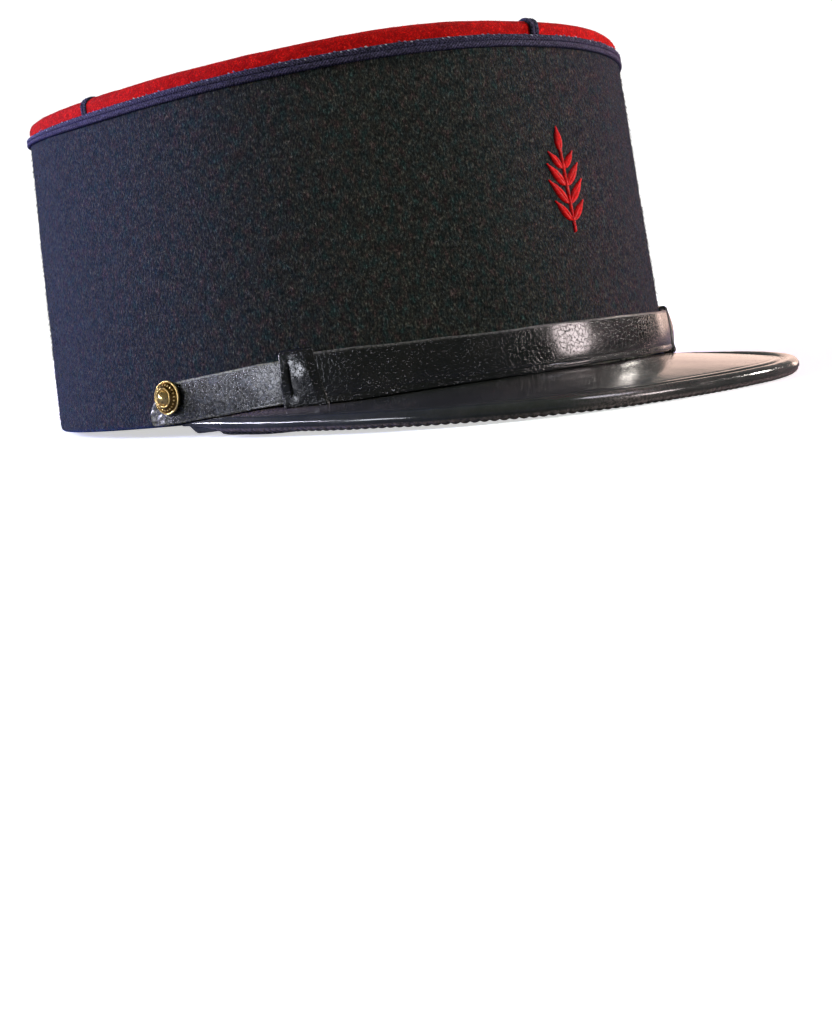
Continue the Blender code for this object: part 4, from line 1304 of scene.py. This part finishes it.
def add_strap(side, path, crowning, lip, material, seed):
    """One strap of the chin strap: thick leather with rounded edges worn paler, its upper edge's pale
    line partly a painted highlight and its button end's pale specks partly painted glints.
    """
    table = np.array(sorted(path)).T
    ends = np.radians(table[0, [0, -1]])
    first, last = place_of(ends)
    columns = round((last - first) / STRAP_SPACING) + 1
    angle = angle_of(np.linspace(first, last, columns))
    degrees = np.degrees(angle)
    low, high, face = (
        smoothed(np.interp(degrees, table[0], row), degrees, STRAP_SMOOTHING) for row in table[1:]
    )
    run = np.linspace(first, last, columns)
    edge_places = np.stack((run, 0 * run, 0 * run), -1)
    low = low + waves(edge_places, STRAP_EDGE_WAVES, seed)
    high = high + waves(edge_places, STRAP_EDGE_WAVES, seed + 5)
    from_end = run - first if abs(degrees[0]) > abs(degrees[-1]) else last - run
    blunt = rounded_end(from_end / STRAP_END_ROUNDING)
    high = high - STRAP_END_CUT * (1 - smoothstep(from_end / STRAP_END_CUT_LENGTH))
    middle = (low + high) / 2
    half = (high - low) / 2 * mix(STRAP_END_NARROWING, 1.0, blunt)
    low, high = middle - half, middle + half
    share, step_up, depth, step_out = leather_outline()
    angle, low, high, face = (v[:, None] for v in (angle, low, high, face))
    back = face - STRAP_LEATHER * mix(STRAP_END_THINNING, 1.0, blunt)[:, None]
    height = mix(low, high, share) + step_up
    out = mix(back, face, depth) + step_out
    on_face = depth * (step_out == 0)
    place = on_crown(angle, height, out)
    out = out + on_face * waves(place, STRAP_WAVES, seed)
    crinkled = (1 - smoothstep(from_end / CRINKLE_REACH))[:, None]
    out = out + on_face * crinkled * waves(place, CRINKLE_WAVES, seed + 7)
    upper_share = np.clip((share - lip) / (1 - lip), 0, 1)
    bulge = np.sin(math.pi * upper_share)
    if lip:
        fullness = mix(STRAP_LIP_FAINT, 1.0, bell(degrees - STRAP_LIP_PLACE, STRAP_LIP_SPREAD))[:, None]
        bulge = mix(bulge, np.sin(math.pi * upper_share ** STRAP_LIP_BULGE), fullness)
        swell = STRAP_LIP_SWELL * np.sin(math.pi * np.clip(share / lip, 0, 1))
        groove = STRAP_LIP_GROOVE * bell(share - lip, STRAP_LIP_GROOVE_WIDTH * lip)
        out = out + on_face * fullness * (swell - groove)
    out = out + on_face * crowning * bulge
    lower_wear = 0.0 if lip else STRAP_EDGE_WEAR_AND_HIGHLIGHT[0] * bell(share, STRAP_EDGE_WEAR_REACH[0])
    # Upper edge painted paler: worn, and partly a painted highlight; the button end's specks are partly
    # painted glints.
    upper_wear_and_highlight = STRAP_EDGE_WEAR_AND_HIGHLIGHT[1] * bell(1 - share, STRAP_EDGE_WEAR_REACH[1])
    end_wear_and_glints = STRAP_END_WEAR_AND_GLINTS * (1 - smoothstep(from_end / STRAP_END_PALE_LENGTH))[:, None]
    wear_and_painted_light = depth * (lower_wear + upper_wear_and_highlight + end_wear_and_glints)
    mesh = swept(on_crown(angle, height, out), wear_and_painted_light=wear_and_painted_light)
    add_piece("leather_strap_" + side, mesh, material, "black_leather", "chin_strap_" + side)


def loop_path(low, high, face):
    """Distance out and height round a loop's rounded outline, with the outward direction there."""
    corners = (
        (face - LOOP_CORNER, high - LOOP_CORNER, 0.0),
        (LOOP_BACK + LOOP_CORNER, high - LOOP_CORNER, 0.5),
        (LOOP_BACK + LOOP_CORNER, low + LOOP_CORNER, 1.0),
        (face - LOOP_CORNER, low + LOOP_CORNER, 1.5),
    )
    points, normals = [], []
    for out, height, start in corners:
        for share in np.linspace(0, 0.5, 9):
            turn = math.pi * (start + share)
            normals.append((math.cos(turn), math.sin(turn)))
            points.append((out + LOOP_CORNER * math.cos(turn), height + LOOP_CORNER * math.sin(turn)))
    points, normals = np.array(points + points[:1]), np.array(normals + normals[:1])
    run = lengths_along(points)
    even = np.linspace(0, run[-1], LOOP_PATH_STEPS + 1)[:-1]
    return at_lengths(points, run, even), unit(at_lengths(normals, run, even))


def add_loop(material, name, start, end, low, high, face, seed):
    """Leather loop round both straps, creased where its leather laps over."""
    points, normals = loop_path(low, high, face)
    across = np.concatenate((np.linspace(0, 1, LOOP_ROWS), np.linspace(1, 0, LOOP_BACK_ROWS)))[None]
    on_outside = (np.arange(across.size) < LOOP_ROWS)[None]
    edge = np.minimum(across, 1 - across)
    rounding = rounded_end(edge / LOOP_EDGE_ROUNDING)
    out, height = points[:, :1], points[:, 1:]
    up_share = (height - low) / (high - low)
    front = smoothstep((out - face + LOOP_FRONT_DEPTH) / LOOP_FRONT_DEPTH)
    leather = LOOP_LEATHER * mix(LOOP_EDGE_THINNING, 1.0, rounding)
    lift = np.where(on_outside, leather, 0.0) - LOOP_LEATHER
    width = abs(math.radians(end - start)) * BOTTOM_HALF_LENGTH
    sign = 1 if end > 0 else -1
    share = across if sign > 0 else 1 - across
    slit = bell((share - LOOP_SLIT_PLACE) * width, LOOP_SLIT_WIDTH)
    slit = slit * smoothstep((up_share - LOOP_SLIT_ENDS[0]) / LOOP_SLIT_FADE)
    slit = slit * smoothstep((LOOP_SLIT_ENDS[1] - up_share) / LOOP_SLIT_FADE)
    curl = bell(share, LOOP_CURL_REACH[0]) * bell(up_share - LOOP_CURL_HEIGHT, LOOP_CURL_REACH[1])
    curl = curl * LOOP_CURL
    below = np.clip((LOOP_FULLEST - up_share) / LOOP_FULLEST, 0, 1)
    above = np.clip((up_share - LOOP_FULLEST) / (1 - LOOP_FULLEST), 0, 1)
    fall = LOOP_FALL_BELOW[0] * below ** LOOP_FALL_BELOW[1]
    fall = fall + LOOP_FALL_ABOVE[0] * above ** LOOP_FALL_ABOVE[1]
    facets = np.interp(share, *np.array(LOOP_FACETS).T) * (1 - fall)
    lift = lift + np.where(on_outside, front * (facets + curl - LOOP_SLIT_DEPTH * slit), 0)
    lean = math.radians(LOOP_SLANT) * (1 - up_share) * (1 - share) * sign
    angle = np.radians(mix(start, end, across)) - lean
    place = on_crown(angle, height + lift * normals[:, 1:], out + lift * normals[:, :1])
    bumps = np.where(on_outside, waves(place, LOOP_WAVES, seed), 0)
    lift = lift + bumps
    place = on_crown(angle, height + lift * normals[:, 1:], out + lift * normals[:, :1])
    wear_and_painted_light = np.where(on_outside, bell(edge, LOOP_WEAR_REACH) * LOOP_WEAR, 0) * np.ones(angle.shape)
    mesh = swept(place, is_ring=True, wear_and_painted_light=wear_and_painted_light)
    add_piece(name.replace("strap", "leather"), mesh, material, "black_leather", name)


# Brass

def button_place(degrees):
    """Origin of a button's back and its directions: round the crown, up and out."""
    angle = np.array(math.radians(degrees))
    share = np.array(BUTTON_HEIGHT) / crown_height(angle)
    along, outward = crown_axes(angle, share)
    return on_crown(angle, BUTTON_HEIGHT, BUTTON_SEAT), along, np.cross(outward, along), outward


def placed_on_button(degrees, points):
    origin, along, upward, outward = button_place(degrees)
    return origin + points[..., :1] * along + points[..., 1:2] * upward + points[..., 2:] * outward


def add_button(side, degrees, material):
    """Domed gilt button with a beaded border between two rings."""
    profile = np.array(BUTTON_PROFILE)
    around = all_round(BUTTON_SIDES)[None]
    radius, height = profile[:, :1], profile[:, 1:]
    points = np.stack(np.broadcast_arrays(
        radius * np.cos(around), radius * np.sin(around), height + 0 * around,
    ), -1)
    # Grooves, field and back painted dark: patina and painted shade.
    polish_and_shade = np.ones(radius.shape)
    for inner, outer in BUTTON_GROOVES:
        polish_and_shade[(inner < radius) & (radius < outer)] = BUTTON_GROOVE_POLISH_AND_SHADE
    polish_and_shade[-BUTTON_BACK_ROWS:] = BUTTON_BACK_POLISH_AND_SHADE
    mesh = swept(placed_on_button(degrees, points), wear_and_painted_light=polish_and_shade + 0 * around)
    add_piece("gilt_button_" + side, mesh, material, "gilt_brass", "button_" + side)
    turn = all_round(PELLETS)
    beads = np.stack((PELLET_RING * np.cos(turn), PELLET_RING * np.sin(turn), 0 * turn + PELLET_RISE), 1)
    steps = np.linspace(-1, 1, 7)
    paths = beads[:, None] + PELLET_RADIUS * steps[None, :, None] * UP
    radii = PELLET_RADIUS * np.sqrt(1 - steps[1:-1] ** 2)[None] * np.ones((PELLETS, 1))
    paths = placed_on_button(degrees, paths)
    outward = np.tile(button_place(degrees)[1], (PELLETS, 1))
    mesh = strands(paths, radii, outward, PELLET_SIDES)
    set_wear_and_painted_light(mesh, np.full(len(mesh.vertices), PELLET_POLISH))
    add_piece("gilt_beads_" + side, mesh, material, "gilt_brass")


# Embroidery

def front_place(x, height, out):
    """Points at the crown's front, by their sideways distance from its middle."""
    x, height, out = np.broadcast_arrays(x, height, out)
    share = height / crown_height(np.array(0.0))
    half_width = mix(BOTTOM_HALF_WIDTH, TOP_HALF_WIDTH, share)
    power = mix(BOTTOM_POWER, TOP_POWER, share)
    angle = -np.sign(x) * np.arcsin((np.abs(x) / half_width) ** (power / 2))
    return on_crown(angle, height, out)


def leaf_threads(foot, direction, length, half_width):
    """Satin stitches from a leaf's middle out to both its edges: sideways place, height and rise."""
    ahead = np.array((math.sin(direction), math.cos(direction)))
    aside = np.array((ahead[1], -ahead[0]))
    threads = []
    count = round(length / THREAD_SPACING)
    for side in (-1, 1):
        for k in range(count):
            start = k / count
            stop = min(start + THREAD_SLANT / length, 1.0)
            reach = half_width * math.sin(math.pi * stop ** LEAF_FULLNESS)
            inner = np.array(foot) + start * length * ahead - LEAF_OVERLAP * side * half_width * aside
            outer = np.array(foot) + stop * length * ahead + side * reach * aside
            swelling = math.sin(math.pi * min(start + LEAF_RISE_START, 1.0))
            highest = THREAD_RISE * mix(LEAF_EDGE_RISE, 1.0, swelling)
            share = np.linspace(0, 1, len(THREAD_PROFILE))
            place = inner + share[:, None] * (outer - inner)
            rise = highest * np.array(THREAD_PROFILE)
            threads.append(np.concatenate((place, rise[:, None]), 1))
    return threads


def stem_threads(height):
    """Slanting stitches up the stem, each overlapping the last like a rope."""
    threads = []
    count = round(height / STEM_THREAD_SPACING)
    for k in range(count):
        z = height * k / count
        share = np.linspace(0, 1, len(THREAD_PROFILE))
        x = SPRIG_STEM_RADIUS * (2 * share - 1)
        rise = SPRIG_STEM_RISE * np.sqrt(np.clip(1 - (2 * share - 1) ** 2, 0, 1))
        threads.append(np.stack((x, z + STEM_THREAD_RUN * share, rise), 1))
    return threads


def add_emblem(material):
    """The sprig at the front, each stitch a thread of its own."""
    tip_foot = SPRIG_HEIGHT - TIP_LEAF_LENGTH
    threads = stem_threads(tip_foot + STEM_IN_LEAF)
    for joint, length, half_width in SPRIG_LEAVES:
        for side in (-1, 1):
            foot = (side * LEAF_JOINT_ASIDE, joint)
            threads += leaf_threads(foot, side * LEAF_ANGLE, length, half_width)
    threads += leaf_threads((0.0, tip_foot), 0.0, TIP_LEAF_LENGTH, TIP_LEAF_HALF_WIDTH)
    threads = np.array(threads)
    x, height = SPRIG_X + threads[..., 0], SPRIG_FOOT_HEIGHT + threads[..., 1]
    place = front_place(x, height, threads[..., 2] + THREAD_OFF_CLOTH)
    middle = len(THREAD_PROFILE) // 2
    raised, flat = (front_place(x[:, middle], height[:, middle], out) for out in (0.002, 0.0))
    radii = blunt_radii(THREAD_RADIUS, len(threads), len(THREAD_PROFILE) - 2)
    mesh = strands(place, radii, unit(raised - flat), THREAD_SIDES)
    add_piece("satin_sprig", mesh, material, "red_thread", "front_emblem")


# Fibres

def fibres(place, outward, hang, kind, generator):
    """Short loose fibres on a surface, most of them hanging, each bent once."""
    count, shortest, longest, radius, steepest = kind
    length = generator.uniform(shortest, longest, count)[:, None]
    aside = np.cross(outward, hang)
    lean = generator.normal(0, FIBRE_LEAN, count)[:, None]
    ahead = unit(np.cos(lean) * hang + np.sin(lean) * aside)
    slope = generator.uniform(FIBRE_LEAST_SLOPE, steepest, count)[:, None]
    bend = generator.normal(0, FIBRE_BEND, count)[:, None]
    root = place - FIBRE_ROOT_DEPTH * outward
    run, rise = FIBRE_MIDDLE
    middle = place + run * length * ahead + slope * rise * length * outward + bend * length * aside
    raised = slope * length * outward * generator.uniform(*FIBRE_TIP_LIFTS, count)[:, None]
    tip = place + length * ahead * FIBRE_TIP_REACH + raised
    radii = radius * generator.uniform(*FIBRE_RADII, (count, 1))
    paths = np.stack((root, middle, tip), 1)
    return strands(paths, radii, outward, FIBRE_SIDES, generator.random(count))


def crown_places(count, generator, margin):
    """Random places over the crown's wool, clear of the braid: points, outward and upward directions."""
    angle = angle_of(generator.uniform(0, CROWN_ROUND, count))
    low = hem_height(angle) + margin
    height = mix(low, crown_height(angle) - BRAID_HEIGHT, generator.random(count))
    share = height / crown_height(angle)
    along, outward = crown_axes(angle, share)
    rough = waves(on_crown(angle, height, np.zeros(count)), CLOTH_WAVES)
    return on_crown(angle, height, rough), outward, np.cross(outward, along)


def add_nap(material, lint_material):
    """The wool's nap, and the lint that has settled on it."""
    generator = np.random.default_rng(NAP_SEED)
    place, outward, upward = crown_places(NAP[0], generator, NAP[2])
    down = upward * np.where(upward[:, 2:] > 0, -1, 1)
    add_piece("wool_nap", fibres(place, outward, down, NAP, generator), material, "dark_wool")
    place, outward, upward = crown_places(LINT[0], generator, LINT_MARGIN)
    add_piece("lint", fibres(place, outward, upward, LINT, generator), lint_material, "dark_wool")


def add_red_nap(material):
    """Nap on the red rim and on the sunken top."""
    generator = np.random.default_rng(RED_NAP_SEED)
    count = RED_NAP[0]
    on_side = count // 2
    angle = angle_of(generator.uniform(0, CROWN_ROUND, count))
    turn = generator.uniform(0, math.pi, on_side)
    inset, rise = rim_curve(turn)
    rim = on_rim(angle[:on_side], inset, rise)
    raised = on_rim(angle[:on_side], inset + 0.001 * np.cos(turn), rise + 0.001 * np.sin(turn))
    edge = on_rim(angle[on_side:], 2 * RIM_RADIUS_ACROSS + RECESS_FILLET, RECESS_RISE)
    flat = mix(edge, TOP_MIDDLE, 1 - np.sqrt(generator.random(count - on_side))[:, None])
    place = np.concatenate((rim, flat))
    outward = np.concatenate((unit(raised - rim), np.tile(UP, (count - on_side, 1))))
    along = crown_axes(angle, np.ones(count))[0]
    place = place + waves(place, TOP_WAVES, TOP_SEED)[:, None] * outward
    mesh = fibres(place, outward, unit(np.cross(outward, along)), RED_NAP, generator)
    add_piece("red_nap", mesh, material, "red_cloth")


def add_stitches(material):
    """Small stitches that hold the braid along its upper edge."""
    generator = np.random.default_rng(STITCH_SEED)
    count = round(CROWN_ROUND / STITCH_SPACING)
    at = CROWN_ROUND * np.arange(count) / count + generator.normal(0, STITCH_UNEVENNESS, count)
    share = np.linspace(-0.5, 0.5, 5)[None]
    angle = angle_of(at[:, None] + share * STITCH_LENGTH)
    top = crown_height(angle)
    drop = STITCH_DROP + generator.normal(0, STITCH_SCATTER, count)[:, None]
    out = STITCH_OUT + STITCH_ARCH * np.cos(math.pi * share)
    place = on_crown(angle, top - drop + STITCH_SLANT * share, out)
    outward = crown_axes(angle[:, 2], np.ones(count))[1]
    radii = blunt_radii(STITCH_RADIUS, count, 3)
    mesh = strands(place, radii, outward, THREAD_SIDES, generator.random(count))
    add_piece("braid_stitches", mesh, material, "navy_braid")


# Stage

def add_floor():
    """A pale floor that runs far past the cap."""
    mesh = bpy.data.meshes.new("floor")
    h = FLOOR_HALF
    mesh.from_pydata([(-h, -h, 0), (h, -h, 0), (h, h, 0), (-h, h, 0)], [], [(0, 1, 2, 3)])
    floor = add_object("floor", mesh)
    material, tree, shader = new_material("pale_floor")
    seen = node(tree, "LightPath").outputs["Is Camera Ray"]
    place = node(tree, "TexCoord").outputs["Object"]
    far = node(tree, "VectorMath", {0: place}, operation="LENGTH").outputs["Value"]
    glow = node(tree, "MapRange", {
        "Value": far, "From Min": FLOOR_GLOW_PLACES[0], "From Max": FLOOR_GLOW_PLACES[1],
        "To Min": FLOOR_GLOW, "To Max": FLOOR_GLOW_FAR,
    })
    feed(tree, shader, {
        "Base Color": ramp(tree, seen, ((0.0, FLOOR_LIT), (1.0, FLOOR_SEEN))),
        "Roughness": 0.9,
        "Specular IOR Level": 0.0,
        "Emission Color": (1.0, 1.0, 1.0, 1.0),
        "Emission Strength": maths(tree, "MULTIPLY", seen, glow.outputs["Result"]),
    })
    mesh.materials.append(material)


def add_world():
    """Soft light all round, stronger from behind the cap than from before it, seen as plain white."""
    world = bpy.data.worlds.new("studio")
    bpy.context.scene.world = world
    world.use_nodes = True
    tree = world.node_tree
    background = tree.nodes["Background"]
    direction = node(tree, "TexCoord").outputs["Generated"]
    seen_from = unit(np.array((-CAMERA_PLACE[0], -CAMERA_PLACE[1], 0.0)))
    behind = node(
        tree, "VectorMath", {0: direction, 1: tuple(seen_from)}, operation="DOT_PRODUCT"
    )
    share = node(tree, "MapRange", {
        "Value": behind.outputs["Value"], "From Min": WORLD_TURN[0], "From Max": WORLD_TURN[1],
    }, interpolation_type="SMOOTHSTEP")
    strength = node(tree, "MapRange", {
        "Value": share.outputs["Result"], "To Min": WORLD_FRONT, "To Max": WORLD_BACK,
    })
    ray = node(tree, "LightPath")
    hue = blend_colours(tree, share.outputs["Result"], WORLD_FRONT_COLOUR, WORLD_BACK_COLOUR)
    hue = blend_colours(tree, ray.outputs["Is Glossy Ray"], hue, WORLD_GLOSS_COLOUR)
    feed(tree, background, {"Strength": strength.outputs["Result"], "Color": hue})
    seen = node(tree, "Background", {"Color": (1, 1, 1, 1), "Strength": WORLD_SEEN})
    choose = node(tree, "MixShader", {
        "Fac": ray.outputs["Is Camera Ray"],
        1: background.outputs["Background"],
        2: seen.outputs["Background"],
    })
    feed(tree, tree.nodes["World Output"], {"Surface": choose.outputs["Shader"]})


def add_softbox(name, azimuth, elevation, distance, width, height, power, colour, lights):
    light = bpy.data.lights.new(name, "AREA")
    light.color = colour
    light.shape = "ELLIPSE" if lights == "gloss" else "RECTANGLE"
    light.size = width
    light.size_y = height
    light.energy = power
    lamp = add_object(name, light)
    a, e = math.radians(azimuth), math.radians(elevation)
    away = Vector((math.sin(a) * math.cos(e), -math.cos(a) * math.cos(e), math.sin(e)))
    lamp.location = Vector(LIGHT_TARGET) + distance * away
    lamp.rotation_euler = away.to_track_quat("Z", "Y").to_euler()
    lamp.visible_glossy = lights == "gloss"
    lamp.visible_diffuse = lights == "matt"


def add_camera():
    camera = bpy.data.cameras.new("camera")
    camera.sensor_width = SENSOR_MM
    camera.lens = CAMERA_FOCAL_MM
    camera.clip_start = 0.01
    viewer = add_object("camera", camera)
    viewer.location = CAMERA_PLACE
    viewer.rotation_euler = [math.radians(turn) for turn in CAMERA_ANGLES]
    bpy.context.scene.camera = viewer


def main():
    scene = bpy.context.scene
    scene.view_settings.view_transform = "Standard"
    add_camera()
    add_floor()
    add_world()
    for softbox in SOFTBOXES:
        add_softbox(*softbox)

    wool = wool_material(
        "fulled_wool", is_wall=True, contrast=1.40, flecks=(0.11, 0.11, 0.115), sheen=0.26,
        sheen_tint=(0.10, 0.28, 1.0), grain_depth=0.00036, hues=(
            (0.36, (0.014, 0.024, 0.021)), (0.45, (0.021, 0.0210, 0.0190)),
            (0.54, (0.025, 0.0235, 0.0180)), (0.64, (0.034, 0.021, 0.019)),
        ),
    )
    red = wool_material(
        "red_wool", is_wall=False, contrast=0.30, flecks=(0.98, 0.04, 0.02), sheen=0.10,
        sheen_tint=(1.0, 0.07, 0.05), grain_depth=0.00034, hues=(
            (0.30, (0.46, 0.002, 0.002)), (0.50, (0.60, 0.004, 0.003)), (0.70, (0.77, 0.008, 0.005)),
        ),
    )
    nap = fibre_material("wool_fibre", (
        (0.0, (0.009, 0.009, 0.010)), (0.50, (0.021, 0.020, 0.021)), (0.85, (0.056, 0.055, 0.057)),
        (1.0, (0.17, 0.17, 0.17)),
    ), (0.7, 0.72, 1.0))
    red_nap = fibre_material("red_fibre", (
        (0.0, (0.48, 0.003, 0.003)), (0.6, (0.80, 0.012, 0.008)), (1.0, (0.95, 0.05, 0.03)),
    ), (1.0, 0.4, 0.3))
    lint = fibre_material("pale_fibre", (
        (0.0, (0.30, 0.30, 0.32)), (0.7, (0.55, 0.53, 0.48)), (1.0, (0.70, 0.62, 0.35)),
    ), (1.0, 1.0, 1.0))
    stitch = fibre_material("stitch_thread", (
        (0.0, (0.06, 0.06, 0.14)), (0.50, (0.14, 0.14, 0.26)), (1.0, (0.55, 0.55, 0.62)),
    ), (1.0, 1.0, 1.0))
    peak_thread = fibre_material("waxed_thread", (
        (0.0, (0.05, 0.04, 0.04)), (1.0, (0.12, 0.10, 0.10)),
    ), (1.0, 0.9, 0.9))
    braid = braid_material()
    strap_leather = leather_material(
        "strap_leather", tone=0.0090, roughness=0.19, unevenness=0.24, dust=0.03,
        worn_and_painted_tone=(0.20, 0.17, 0.165), depths=(0.000013, 0.000022, 0.00022, 0.00004),
    )
    worn_leather = leather_material(
        "worn_leather", tone=0.0080, roughness=0.20, unevenness=0.40, dust=0.27,
        worn_and_painted_tone=(0.42, 0.38, 0.27), depths=(0.00006, 0.00008, 0.00016, 0.00030),
    )
    peak_leather = leather_material(
        "patent_leather", tone=0.0330, roughness=0.10, unevenness=0.20, dust=0.05,
        worn_and_painted_tone=(0.200, 0.140, 0.135), depths=(0.000004, 0.000004, 0.00002, 0.00002),
    )
    brass = brass_material()
    silk = thread_material()

    add_crown_cloth(wool)
    add_red_top(red)
    add_braid(braid)
    for place, degrees in CORD_ANGLES.items():
        add_rim_cord(place, degrees, braid)
    add_peak(peak_leather)
    add_roll(peak_leather)
    add_peak_stitches(peak_thread)
    add_flap(strap_leather)
    add_strap("right", STRAP_RIGHT_PATH, STRAP_CROWNING[0], 0.0, worn_leather, 41)
    add_strap("left", STRAP_LEFT_PATH, STRAP_CROWNING[1], STRAP_LIP, strap_leather, 51)
    for loop in STRAP_LOOPS:
        add_loop(strap_leather, *loop)
    add_button("right", BUTTON_ANGLE, brass)
    add_button("left", -BUTTON_ANGLE, brass)
    add_emblem(silk)
    add_nap(nap, lint)
    add_red_nap(red_nap)
    add_stitches(stitch)


main()
